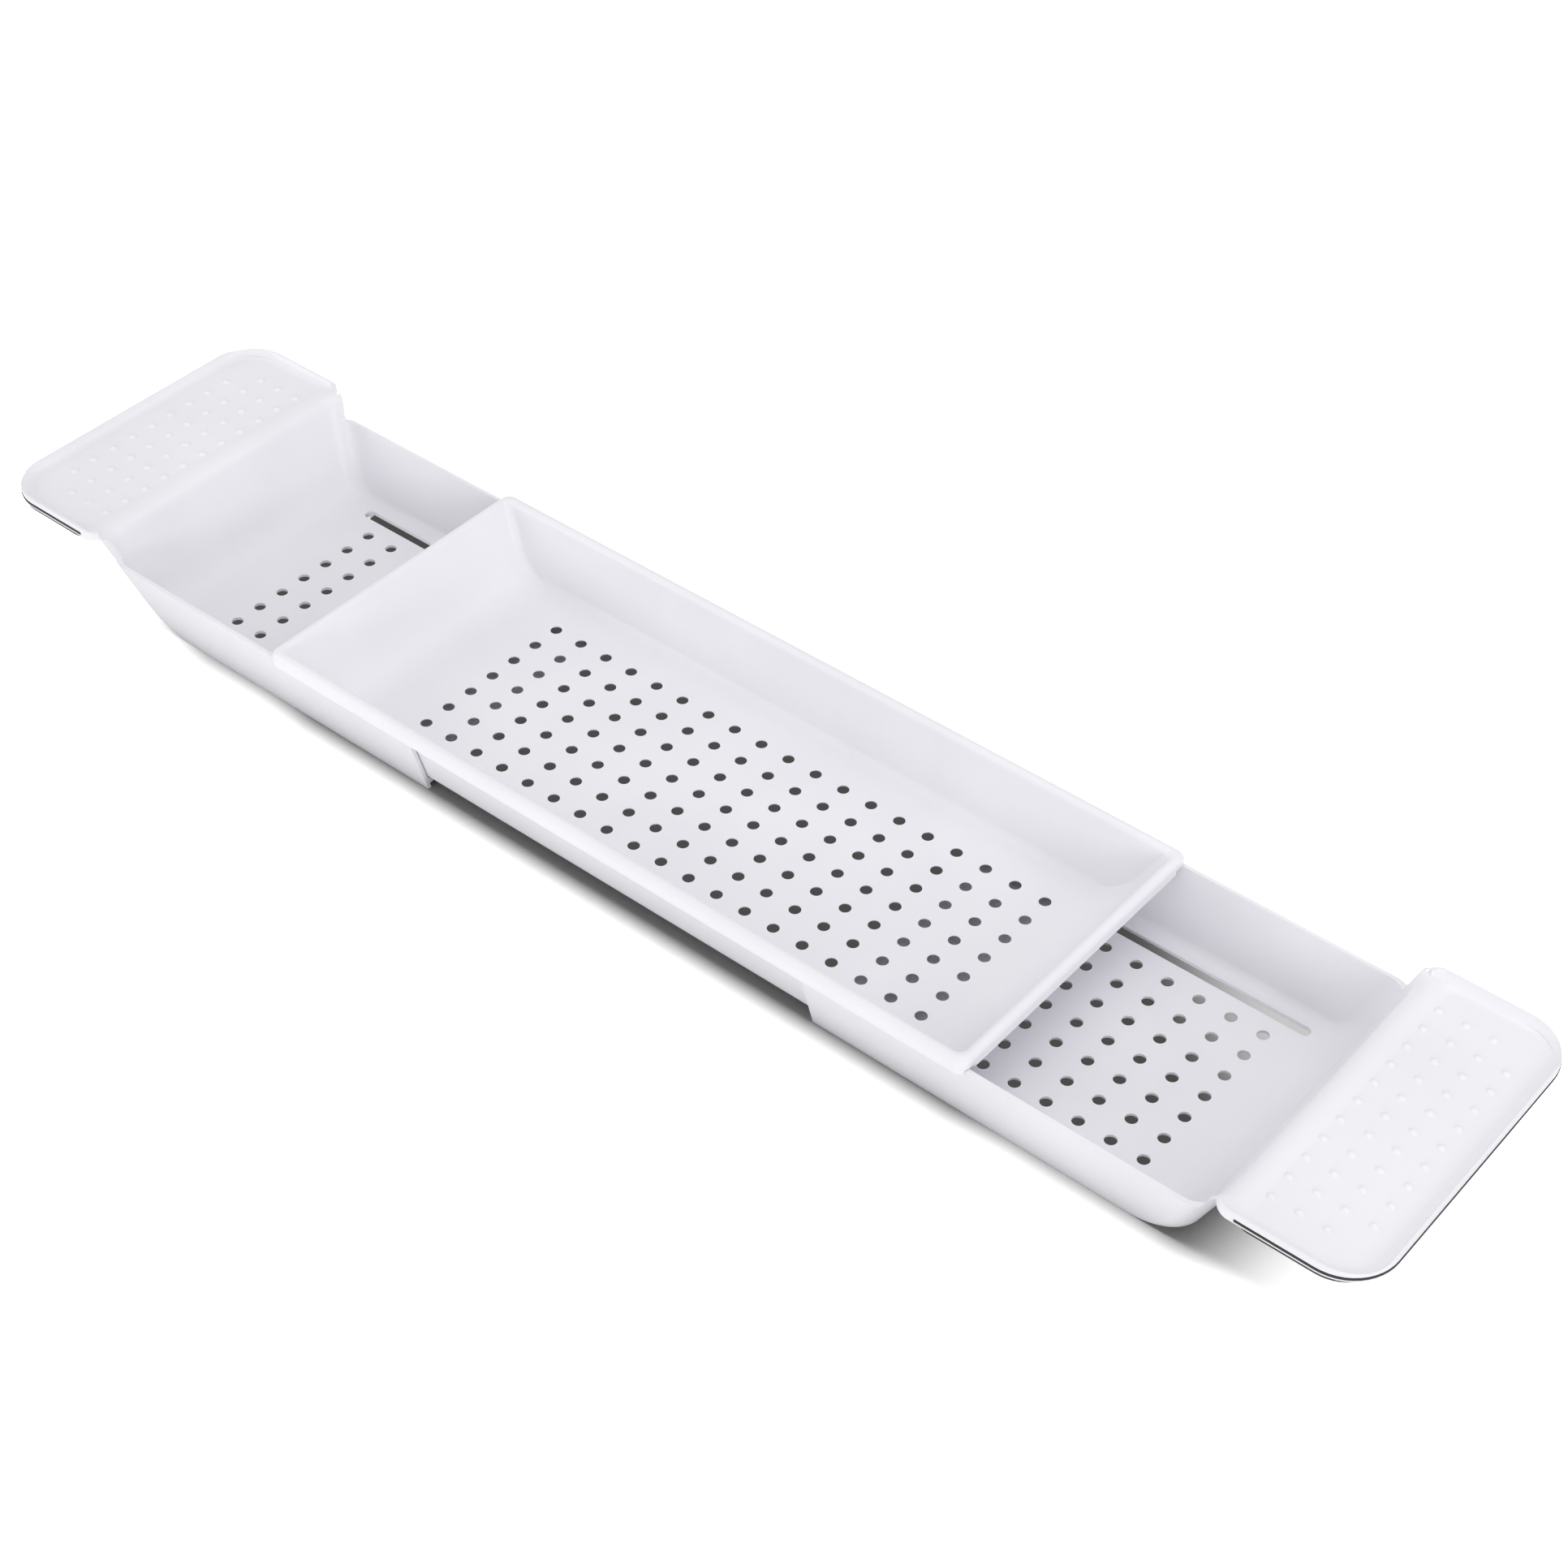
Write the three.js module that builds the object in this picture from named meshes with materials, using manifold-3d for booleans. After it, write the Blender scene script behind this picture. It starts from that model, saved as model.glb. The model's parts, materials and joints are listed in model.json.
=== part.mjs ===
// Extending bath caddy: a perforated centre tray with a hooked rim, and two perforated end trays
// that slide underneath it, each ending in a wing that rests on the edge of the bath.
// Millimetres. X runs along the caddy, Y across it and Z up, with Z zero on the trays' feet.
// The origin is in the middle of the centre tray, and both end trays are drawn fully out.
import * as THREE from 'three';
import { mergeGeometries, mergeVertices } from 'three/addons/utils/BufferGeometryUtils.js';
import Module from 'manifold-3d';

const wasm = await Module();
wasm.setup();

// Plastic and clearances
const wall = 2; // thickness of every floor and wall
const slideGap = 0.5; // between parts that slide on each other
const seatGap = 0.25; // between parts that are fixed to each other
const overrun = 3; // how far a cutter reaches past what it cuts

// Perforated floors
const holeRadius = 3.1;
const holePitchX = 17;
const holePitchY = 15.6;

// Heights
const footHeight = 3.1; // side walls reach this far below the end trays' floors
const floorStep = 5.3; // from the top of an end floor to the underside of the centre floor
const centreDepth = 34; // from the centre floor to the top of its rim
const hookRoom = 3.3; // between the centre rim's underside and an end tray's rim

// Side walls lean outwards, and every wall keeps to the same lean
const rimHalfWidth = 82.5; // outside of an end tray at its rim
const wallLean = 11.1; // how much narrower an end tray's half is at its feet
const floorCorner = 5; // inside radius between a floor and a side wall
const footCorner = 0.8; // outside radius of an end tray's feet, which leaves them a flat edge

// Centre tray
const centreLength = 423; // over the rim
const rimDepth = 7.6; // how far the hooked rim reaches down
const rimCorner = 9; // radius of the rim's corners in plan
const rampAngle = THREE.MathUtils.degToRad(60);
const rampRadius = 30; // where the floor sweeps up into a ramp
const holeMargin = 50; // from the rim's right-hand end to the nearest column of holes
const bareFloor = 60; // the least that stays free of holes at the left-hand end

// End trays, measured from their open inner ends
const overlap = 91.5; // how much of an end tray the centre tray covers, fully out
const endMargin = 8; // from the inner end to the first column of holes
const slopeMargin = 8; // the least between the last column of holes and the end slope
const slopeStart = 192; // where the line of the end slope would meet the feet
const slopeAngle = THREE.MathUtils.degToRad(66);
const slopeRadius = 24;
const heelRadius = 26; // outside radius under the end slope
const swoopInset = 5.62; // from where the rim's rise ends to the outside of the slope
const swoopRun = 5.5; // length that the rise takes
const swoopRadius = 6;

// Wings
const wingInset = 5.12; // from the wing's inner edge to the outside of the slope
const wingLength = 73;
const wingRise = 14.9; // from an end tray's rim to the wing's raised edge
const wingOverhang = 3.9; // a wing is this much wider than the rim on each side
const wingThickness = 5.5; // from its underside to the raised edge
const panFloor = 1.7; // thickness of the wing under its pan
const panSlope = 6; // width of the sloping side of the pan
const edgeWidth = 3; // flat top of the raised edge
const ridgeWidth = 6.5; // top of the ridge between the end slope and the pan
const ridgeDrop = 2.9; // the ridge is this much lower than the raised edge
const ridgeRadius = 8;
const ridgeFall = 1;
const shoulderRadius = 8; // inner corners of the wing
const wingCorner = 24; // outer corners of the wing

// Low bumps on the pans
const bumpPitch = 13.2;
const bumpInset = 16.4; // from the wing's inner edge to the first column
const bumpMargin = 3; // the least between a bump's middle and the pan's sloping side
const bumpBase = 2.2;
const bumpTip = 1.1;
const bumpHeight = 0.9;

// Dark strip let into a groove round the edge of a wing
const stripInset = 12; // from the wing's inner edge to the strip's two ends
const stripLedge = 1.2; // from the wing's underside up to the strip
const stripHeight = 1.7;
const stripDepth = 2.2;
const stripProud = 0.3;

// Grip pad under a wing
const padInset = 10; // from the wing's inner edge
const padThickness = 1.8;
const padMargin = 4; // from the wing's outer edge
const padCorner = 20;

// Studs that hold the end trays through slots in their floors
const studRadius = 2;
const studHeadRadius = 4.5;
const studHeadHeight = 1.5;
const studInset = 31.5; // from the end of the centre tray
const studWallGap = 9.8; // from a stud's middle to the end tray's side wall
const bossRadius = 4.5;
const runnerDepth = 2.9; // of the side walls below the centre tray's floor
const slotSideGap = 0.4;
const slotEndGap = 1.5;
const stopInset = 19; // from a stud's middle to the end slope's start, pushed fully in
const middleGap = 7; // from an end tray to the middle of the caddy, pushed fully in

// Facets
const arcSteps = 6;
const holeSides = 8;
const bumpSides = 6;
const studSides = 16;

// Heights that follow
const endFloorTop = footHeight + wall;
const centreUnder = endFloorTop + floorStep;
const centreFloorTop = centreUnder + wall;
const rimTop = centreFloorTop + centreDepth;
const endRimHeight = rimTop - wall - hookRoom;
const wingTop = endRimHeight + wingRise;
const wingUnder = wingTop - wingThickness;
const panTop = wingUnder + panFloor;
const ridgeTop = wingTop - ridgeDrop;
const bossLow = endFloorTop + slideGap;
const runnerLow = centreUnder - runnerDepth;

// Widths that follow
const footHalfWidth = rimHalfWidth - wallLean;
const wingHalfWidth = rimHalfWidth + wingOverhang;
const lean = wallLean / endRimHeight;
const wallAcross = wall * Math.hypot(1, lean);
const endOuterHalf = (z) => footHalfWidth + lean * z;
const endInnerHalf = (z) => endOuterHalf(z) - wallAcross;
const centreOuterHalf = (z) => endInnerHalf(z) - slideGap;
const centreInnerHalf = (z) => centreOuterHalf(z) - wallAcross;
const skirtInnerHalf = rimHalfWidth + slideGap;
const skirtOuterHalf = skirtInnerHalf + wall;
const rimWidth = skirtOuterHalf - centreInnerHalf(rimTop);
const studHalfSpacing = endInnerHalf(endFloorTop) - studWallGap;

// Lengths that follow. An end tray slides in until its slots end or it nears its twin.
const endStart = centreLength / 2 - overlap;
const studX = centreLength / 2 - studInset;
const studAtRest = studX - endStart;
const travel = Math.min(slopeStart - stopInset - studAtRest, endStart - middleGap);
const slopeInnerX = (z) => slopeStart + z / Math.tan(slopeAngle);
const slopeOuterX = (z) => slopeInnerX(z) + wall / Math.sin(slopeAngle);
const slopeFoot = slopeInnerX(endFloorTop) - slopeRadius * Math.tan(slopeAngle / 2);
const swoopEnd = slopeOuterX(wingTop) - swoopInset;
const swoopStart = swoopEnd - swoopRun;
const wingStart = slopeOuterX(wingTop) - wingInset;
const endLength = wingStart + wingLength;
const panOpenX = slopeInnerX(ridgeTop) + ridgeWidth;
const panSide = edgeWidth + panSlope;

// How many of a pitch fit in a length, and how many rows fit in a half width each way.
const countIn = (length, pitch) => Math.floor(length / pitch) + 1;
const rowsIn = (half, pitch) => 2 * countIn(half, pitch) - 1;
const holeRows = rowsIn(studHalfSpacing - bossRadius - holeRadius, holePitchY);
const centreColumns = countIn(centreLength - holeMargin - bareFloor, holePitchX);
const endColumns = countIn(slopeFoot - slopeMargin - holeRadius - endMargin, holePitchX);
const bumpStart = wingStart + bumpInset;
const bumpColumns = countIn(endLength - panSide - bumpMargin - bumpStart, bumpPitch);
const bumpRows = rowsIn(wingHalfWidth - panSide - bumpMargin, bumpPitch);

const plastic = { color: 0xf1f1f3, roughness: 0.38, metalness: 0 };
const rubber = { color: 0x4a4b4e, roughness: 0.75, metalness: 0 };
const padRubber = { color: 0x5a5b5e, roughness: 0.8, metalness: 0 };
const studPlastic = { color: 0xe4e4e6, roughness: 0.45, metalness: 0 };

// A closed geometry becomes a solid that can be joined and cut.
function toSolid(geometry) {
  const bare = geometry.clone();
  bare.deleteAttribute('normal');
  bare.deleteAttribute('uv');
  const merged = mergeVertices(bare);
  return new wasm.Manifold(new wasm.Mesh({
    numProp: 3,
    vertProperties: new Float32Array(merged.attributes.position.array),
    triVerts: new Uint32Array(merged.index.array),
  }));
}

function toGeometry(solid) {
  const { vertProperties, triVerts, numProp } = solid.getMesh();
  const positions = [];
  for (const vertex of triVerts) {
    const at = vertex * numProp;
    positions.push(vertProperties[at], vertProperties[at + 1], vertProperties[at + 2]);
  }
  const geometry = new THREE.BufferGeometry();
  geometry.setAttribute('position', new THREE.Float32BufferAttribute(positions, 3));
  geometry.computeVertexNormals();
  return geometry;
}

// An outline through corners given as [x, y, radius], with each corner rounded to its radius.
function outline(corners) {
  const points = [];
  corners.forEach(([x, y, radius = 0], i) => {
    const corner = new THREE.Vector2(x, y);
    if (radius === 0) {
      points.push(corner);
      return;
    }
    const [bx, by] = corners[(i + corners.length - 1) % corners.length];
    const [ax, ay] = corners[(i + 1) % corners.length];
    const before = new THREE.Vector2(bx - x, by - y).normalize();
    const after = new THREE.Vector2(ax - x, ay - y).normalize();
    const half = Math.acos(before.dot(after)) / 2;
    const towards = before.clone().add(after).normalize();
    const centre = corner.clone().addScaledVector(towards, radius / Math.sin(half));
    const start = corner.clone().addScaledVector(before, radius / Math.tan(half)).sub(centre);
    const turn = Math.sign(before.cross(after)) * (Math.PI - 2 * half) * -1;
    for (let step = 0; step <= arcSteps; step += 1) {
      const spoke = start.clone().rotateAround(new THREE.Vector2(), turn * step / arcSteps);
      points.push(spoke.add(centre));
    }
  });
  return new THREE.Shape(points);
}

function extruded(shape, depth) {
  return new THREE.ExtrudeGeometry(shape, { depth, bevelEnabled: false });
}

// A plan outline drawn in X and Y, between two heights.
function upright(shape, low, high) {
  return toSolid(extruded(shape, high - low).translate(0, 0, low));
}

// A section drawn in Y and Z, drawn out along X.
function alongX(shape, from, to) {
  const axes = new THREE.Matrix4().makeBasis(
    new THREE.Vector3(0, 1, 0), new THREE.Vector3(0, 0, 1), new THREE.Vector3(1, 0, 0));
  return toSolid(extruded(shape, to - from).applyMatrix4(axes).translate(from, 0, 0));
}

// A side view drawn in X and Z, drawn out along Y to half a width each way.
function acrossY(shape, halfWidth) {
  const axes = new THREE.Matrix4().makeBasis(
    new THREE.Vector3(1, 0, 0), new THREE.Vector3(0, 0, 1), new THREE.Vector3(0, -1, 0));
  return toSolid(extruded(shape, 2 * halfWidth).applyMatrix4(axes).translate(0, halfWidth, 0));
}

// A rectangle in plan, with one radius for its two corners at each end.
function plate(fromX, toX, halfWidth, fromRadius, toRadius) {
  return outline([
    [fromX, -halfWidth, fromRadius],
    [toX, -halfWidth, toRadius],
    [toX, halfWidth, toRadius],
    [fromX, halfWidth, fromRadius],
  ]);
}

// A solid whose sides run from one outline up to another with as many points.
function tapered(lowShape, low, highShape, high) {
  const bottom = lowShape.getPoints();
  const top = highShape.getPoints();
  const count = bottom.length;
  const positions = [];
  bottom.forEach((point) => positions.push(point.x, point.y, low));
  top.forEach((point) => positions.push(point.x, point.y, high));
  const faces = [];
  for (const [a, b, c] of THREE.ShapeUtils.triangulateShape(bottom, [])) {
    faces.push(a, c, b);
    faces.push(a + count, b + count, c + count);
  }
  for (let i = 0; i < count; i += 1) {
    const next = (i + 1) % count;
    faces.push(i, next, next + count);
    faces.push(i, next + count, i + count);
  }
  const geometry = new THREE.BufferGeometry();
  geometry.setAttribute('position', new THREE.Float32BufferAttribute(positions, 3));
  geometry.setIndex(faces);
  return toSolid(geometry);
}

function peg(radius, low, high, x, y, sides = studSides, topRadius = radius) {
  return new THREE.CylinderGeometry(topRadius, radius, high - low, sides)
    .rotateX(Math.PI / 2)
    .translate(x, y, (low + high) / 2);
}

// The trough between two leaning side walls, from a low height to a high one.
function trough(half, low, high, cornerRadius, from, to) {
  return alongX(outline([
    [-half(high), high],
    [-half(low), low, cornerRadius],
    [half(low), low, cornerRadius],
    [half(high), high],
  ]), from, to);
}

// A grid of pegs that cuts the holes of a floor.
function holeCutters(firstX, columns, low, high) {
  const cutters = [];
  for (let column = 0; column < columns; column += 1) {
    for (let row = 0; row < holeRows; row += 1) {
      const x = firstX + column * holePitchX;
      const y = (row - (holeRows - 1) / 2) * holePitchY;
      cutters.push(peg(holeRadius, low, high, x, y, holeSides));
    }
  }
  return toSolid(mergeGeometries(cutters));
}

const ends = [-1, 1];

// The centre tray's floor sweeps up into a ramp at each end, inside or outside its wall.
function centreSpace(half, floor, offset, top) {
  const lineTop = centreLength / 2 - rimWidth + offset / Math.sin(rampAngle);
  const lineX = (z) => lineTop - (rimTop - z) / Math.tan(rampAngle);
  const reach = lineX(top);
  const side = outline([
    [-reach, top],
    [-lineX(floor), floor, rampRadius + offset],
    [lineX(floor), floor, rampRadius + offset],
    [reach, top],
  ]);
  const section = trough(half, floor, top, floorCorner + offset, -reach, reach);
  return section.intersect(acrossY(side, half(top) + overrun));
}

// The hooked rim goes all round, and is cut away where the end trays' walls pass through its ends.
function hookedRim() {
  const halfLength = centreLength / 2;
  const skirtLow = rimTop - rimDepth;
  const rim = upright(
    plate(-halfLength, halfLength, skirtOuterHalf, rimCorner, rimCorner), skirtLow, rimTop);
  const innerCorner = rimCorner - wall;
  const hollow = upright(
    plate(wall - halfLength, halfLength - wall, skirtInnerHalf, innerCorner, innerCorner),
    skirtLow - overrun, rimTop - wall);
  const corridorTop = endRimHeight + slideGap;
  const corridorInner = endInnerHalf(skirtLow) - slideGap;
  let hook = rim.subtract(hollow);
  for (const side of ends) {
    const corridor = outline([
      [side * corridorInner, skirtLow - overrun],
      [side * skirtInnerHalf, skirtLow - overrun],
      [side * skirtInnerHalf, corridorTop],
      [side * corridorInner, corridorTop],
    ]);
    hook = hook.subtract(alongX(corridor, -halfLength - overrun, halfLength + overrun));
  }
  return hook;
}

// The side walls run on below the floor nearly to the ramps' feet, rounded to clear the
// corners of the end trays' floors.
function sideRunners() {
  const slopeFoot = centreLength / 2 - rimWidth - centreDepth / Math.tan(rampAngle);
  const reach = slopeFoot - rampRadius * Math.tan(rampAngle / 2) - wall;
  const beyond = reach + overrun;
  const roundingTop = centreUnder + floorCorner - wall / 2;
  const walls = trough(
    centreOuterHalf, bossLow, roundingTop, floorCorner - slideGap, -reach, reach);
  const between = trough(centreInnerHalf, bossLow - overrun, centreUnder, 0, -beyond, beyond);
  const below = upright(
    plate(-beyond, beyond, rimHalfWidth, 0, 0), bossLow - overrun, runnerLow);
  return walls.subtract(between).subtract(below);
}

// The bosses run up into the ramps, and the tray's hollow trims them.
function centreTray() {
  const bosses = [];
  const bores = [];
  for (const end of ends) {
    for (const side of ends) {
      const y = side * studHalfSpacing;
      bosses.push(peg(bossRadius, bossLow, rimTop, end * studX, y));
      const boreRadius = studRadius + seatGap;
      bores.push(peg(boreRadius, bossLow - overrun, centreUnder, end * studX, y));
    }
  }
  const firstHole = centreLength / 2 - holeMargin - (centreColumns - 1) * holePitchX;
  return centreSpace(centreOuterHalf, centreUnder, wall, rimTop)
    .add(hookedRim())
    .add(sideRunners())
    .add(toSolid(mergeGeometries(bosses)))
    .subtract(centreSpace(centreInnerHalf, centreFloorTop, 0, rimTop + overrun))
    .subtract(holeCutters(firstHole, centreColumns, bossLow, centreFloorTop + overrun))
    .subtract(toSolid(mergeGeometries(bores)));
}

// The outside of an end tray: leaning walls, a rounded heel and the rim's rise to the wing.
function endTrayOutside() {
  const side = outline([
    [0, 0],
    [slopeOuterX(0), 0, heelRadius],
    [slopeOuterX(wingTop), wingTop],
    [swoopEnd, wingTop, swoopRadius],
    [swoopStart, endRimHeight, swoopRadius],
    [0, endRimHeight],
  ]);
  return trough(endOuterHalf, 0, wingTop, footCorner, 0, endLength)
    .intersect(acrossY(side, endOuterHalf(wingTop) + overrun));
}

// The space inside an end tray, open at its inner end and rolling over the ridge to the pan.
function endTrayInside() {
  const high = wingTop + overrun;
  const side = outline([
    [-overrun, endFloorTop],
    [slopeInnerX(endFloorTop), endFloorTop, slopeRadius],
    [slopeInnerX(ridgeTop), ridgeTop, ridgeRadius],
    [panOpenX, ridgeTop],
    [panOpenX, high],
    [-overrun, high],
  ]);
  return trough(endInnerHalf, endFloorTop, high, floorCorner, -overrun, endLength)
    .intersect(acrossY(side, endInnerHalf(high) + overrun));
}

const wingOutline = (inset) => plate(
  wingStart + inset, endLength - inset, wingHalfWidth - inset, shoulderRadius, wingCorner - inset);

function wingBlock() {
  return upright(wingOutline(0), wingUnder, wingTop);
}

function panCutter() {
  const outerEdge = endLength - edgeWidth;
  const topHalf = wingHalfWidth - edgeWidth;
  const topRadius = wingCorner - edgeWidth;
  const floorStart = panOpenX + ridgeFall;
  const top = plate(floorStart - panSlope, outerEdge, topHalf, shoulderRadius, topRadius);
  const floor = plate(
    floorStart, outerEdge - panSlope, topHalf - panSlope,
    shoulderRadius, topRadius - panSlope);
  return tapered(floor, panTop, top, wingTop)
    .add(upright(top, wingTop, wingTop + overrun));
}

// The outermost column leaves out its two end bumps, because the pan's corners are round.
function bumps() {
  const all = [];
  for (let column = 0; column < bumpColumns; column += 1) {
    const count = column === bumpColumns - 1 ? bumpRows - 2 : bumpRows;
    for (let i = 0; i < count; i += 1) {
      const x = bumpStart + column * bumpPitch;
      const y = (i - (count - 1) / 2) * bumpPitch;
      const low = panTop - seatGap;
      all.push(peg(bumpBase, low, panTop + bumpHeight, x, y, bumpSides, bumpTip));
    }
  }
  return toSolid(mergeGeometries(all));
}

// A band that follows the wing's edge, from one inset to another and between two heights.
function edgeBand(outerInset, innerInset, low, high, start) {
  const band = upright(wingOutline(outerInset), low, high)
    .subtract(upright(wingOutline(innerInset), low - overrun, high + overrun));
  const keep = upright(
    plate(start, endLength + overrun, wingHalfWidth + overrun, 0, 0),
    low - overrun, high + overrun);
  return band.intersect(keep);
}

const stripStart = wingStart + stripInset;
const stripLow = wingUnder + stripLedge;
const stripHigh = stripLow + stripHeight;

function stripGroove() {
  return edgeBand(
    -overrun, stripDepth, stripLow - seatGap, stripHigh + seatGap, stripStart - seatGap);
}

function edgeStrip() {
  return edgeBand(-stripProud, stripDepth - seatGap, stripLow, stripHigh, stripStart);
}

function gripPad() {
  const high = wingUnder - seatGap;
  return upright(
    plate(wingStart + padInset, endLength - padMargin, wingHalfWidth, shoulderRadius, padCorner),
    high - padThickness, high);
}

// Two slots let the studs travel, and a shallow recess under the floor hides their heads.
function slotCutters() {
  const from = studAtRest - studRadius - slotEndGap;
  const to = studAtRest + travel + studRadius + slotEndGap;
  const half = studRadius + slotSideGap;
  const slot = plate(from, to, half, half, half);
  const cutters = ends.map((side) => extruded(slot, endFloorTop + overrun)
    .translate(0, side * studHalfSpacing, 0));
  return toSolid(mergeGeometries(cutters));
}

function footRecess() {
  const end = studAtRest + travel + studHeadRadius + slotEndGap;
  return trough(endInnerHalf, -overrun, footHeight, 0, -overrun, end);
}

function endTray() {
  return endTrayOutside()
    .add(wingBlock())
    .subtract(endTrayInside())
    .subtract(panCutter())
    .subtract(footRecess())
    .subtract(stripGroove())
    .subtract(holeCutters(endMargin, endColumns, -overrun, endFloorTop + overrun))
    .subtract(slotCutters())
    .add(bumps());
}

function slideStud() {
  const headTop = footHeight - slideGap;
  const shankTop = centreUnder - seatGap;
  const head = toSolid(peg(studHeadRadius, headTop - studHeadHeight, headTop, 0, 0));
  return head.add(toSolid(peg(studRadius, headTop - seatGap, shankTop, 0, 0)));
}

function named(name, solid, look) {
  const mesh = new THREE.Mesh(toGeometry(solid), new THREE.MeshStandardMaterial(look));
  mesh.name = name;
  return mesh;
}

const caddy = new THREE.Group();
caddy.add(named('centre_tray', centreTray(), plastic));

// Both ends are the same tray, and the left one is turned half round.
for (const [side, facing] of [['left', -1], ['right', 1]]) {
  const end = new THREE.Group();
  end.rotation.z = facing < 0 ? Math.PI : 0;
  const tray = new THREE.Group();
  tray.position.x = endStart;
  tray.add(named(`${side}_tray`, endTray(), plastic));
  tray.add(named(`${side}_edge_strip`, edgeStrip(), rubber));
  tray.add(named(`${side}_grip_pad`, gripPad(), padRubber));
  end.add(tray);
  for (const [place, depth] of [['front', -1], ['rear', 1]]) {
    const stud = named(`${side}_${place}_slide_stud`, slideStud(), studPlastic);
    stud.position.set(studX, depth * facing * studHalfSpacing, 0);
    end.add(stud);
  }
  caddy.add(end);
}

export default caddy;
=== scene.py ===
# %% [markdown]
# # An extending bath caddy
# The caddy has three large mouldings in cool white plastic: a centre tray, and two end trays that
# slide under it and lie on the edges of the bath. This lesson takes the plain working model as its
# frame and makes the fine surfaces that the eye sees: rolled rims, soft corners and clean holes.

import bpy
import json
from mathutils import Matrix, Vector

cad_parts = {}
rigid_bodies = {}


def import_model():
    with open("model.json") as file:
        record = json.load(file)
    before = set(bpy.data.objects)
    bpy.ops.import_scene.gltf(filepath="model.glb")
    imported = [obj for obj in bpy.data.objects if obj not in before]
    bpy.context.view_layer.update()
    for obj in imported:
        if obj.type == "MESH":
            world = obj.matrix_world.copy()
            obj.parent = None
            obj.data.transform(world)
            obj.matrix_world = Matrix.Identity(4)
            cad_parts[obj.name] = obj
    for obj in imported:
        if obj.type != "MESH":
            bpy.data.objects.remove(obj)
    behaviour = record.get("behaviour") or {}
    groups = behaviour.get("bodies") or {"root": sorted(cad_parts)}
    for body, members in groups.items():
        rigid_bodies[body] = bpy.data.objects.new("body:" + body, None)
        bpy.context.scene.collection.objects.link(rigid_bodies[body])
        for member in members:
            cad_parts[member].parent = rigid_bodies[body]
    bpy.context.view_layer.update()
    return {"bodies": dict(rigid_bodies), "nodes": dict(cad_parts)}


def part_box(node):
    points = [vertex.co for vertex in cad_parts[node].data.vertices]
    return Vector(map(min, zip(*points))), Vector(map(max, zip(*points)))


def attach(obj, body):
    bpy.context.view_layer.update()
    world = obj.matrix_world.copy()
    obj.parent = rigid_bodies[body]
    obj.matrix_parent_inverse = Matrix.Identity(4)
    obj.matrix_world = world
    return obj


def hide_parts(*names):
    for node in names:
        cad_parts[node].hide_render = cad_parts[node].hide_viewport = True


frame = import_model()
print("nodes:", ", ".join(sorted(frame["nodes"])))

# %% Sizes read from the working model
import json
import math

import bmesh
import bpy
from mathutils import Matrix, Vector

MM = 0.001

_, centre_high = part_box("centre_tray")
end_low, end_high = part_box("right_tray")
strip_low, strip_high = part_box("right_edge_strip")
pad_low, pad_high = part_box("right_grip_pad")
stud_low, stud_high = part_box("right_rear_slide_stud")

rim_reach = centre_high.x
rim_half = centre_high.y
rim_top = centre_high.z
end_start = end_low.x
wing_reach = end_high.x
wing_top = end_high.z
print(f"centre rim {2 * rim_reach:.4f} by {2 * rim_half:.4f}")
print(f"end tray {wing_reach - end_start:.4f} long")

# %% [markdown]
# ## Sizes that the working model doesn't give by its boxes
# A moulding keeps one wall thickness and one lean everywhere, so a few values set every height
# and width. The lean lets the trays nest, and lets the real moulding leave its tool.

# %% Walls, heights and the lean
WALL = 2 * MM
SLIDE_GAP = 0.5 * MM
FIT_GAP = 0.25 * MM
OVERRUN = 4 * MM
HAIR = 0.02 * MM

FOOT_HEIGHT = 3.1 * MM
CENTRE_DEPTH = 34 * MM
HOOK_ROOM = 3.3 * MM
end_floor = FOOT_HEIGHT + WALL
centre_floor = rim_top - CENTRE_DEPTH
centre_under = centre_floor - WALL
end_rim = rim_top - WALL - HOOK_ROOM

RIM_LEAN_IN = 11.1 * MM
lean = RIM_LEAN_IN / end_rim
side_angle = math.atan2(1, lean)
wall_across = WALL * math.hypot(1, lean)
end_rim_half = rim_half - WALL - SLIDE_GAP


def end_outer_half(z):
    return end_rim_half - RIM_LEAN_IN + lean * z


def end_inner_half(z):
    return end_outer_half(z) - wall_across


def centre_outer_half(z):
    return end_inner_half(z) - SLIDE_GAP


def centre_inner_half(z):
    return centre_outer_half(z) - wall_across


print(f"walls lean {90 - math.degrees(side_angle):.1f} degrees, end rim at {end_rim:.4f}")

# %% [markdown]
# ## Towers of rings
# A tray is a stack of rounded rectangles, each a little wider than the one below. A plane is
# added at its size, its corners are rounded with a vertex bevel, and it is then extruded and
# resized once for every ring, as by hand. A box with bevelled edges would be quicker, but its
# floor couldn't sweep up with one curve at the ends and another at the sides.

# %% A rounded rectangle and a tower of them
CORNER_STEPS = 8


def add(primitive, name, place, stretch=(1, 1, 1), **sizes):
    """Adds a primitive with nothing else selected, its place and stretch in its mesh."""
    bpy.ops.object.select_all(action="DESELECT")
    primitive(location=place, **sizes)
    piece = bpy.context.object
    piece.name = name
    piece.scale = stretch
    bpy.ops.object.transform_apply(location=True, rotation=False, scale=True)
    return piece


def edit_all():
    bpy.ops.object.mode_set(mode="EDIT")
    bpy.ops.mesh.select_all(action="SELECT")


def extrude(move):
    bpy.ops.mesh.extrude_region_move(TRANSFORM_OT_translate={"value": move})


def only(piece):
    bpy.ops.object.select_all(action="DESELECT")
    piece.select_set(True)
    bpy.context.view_layer.objects.active = piece


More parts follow.
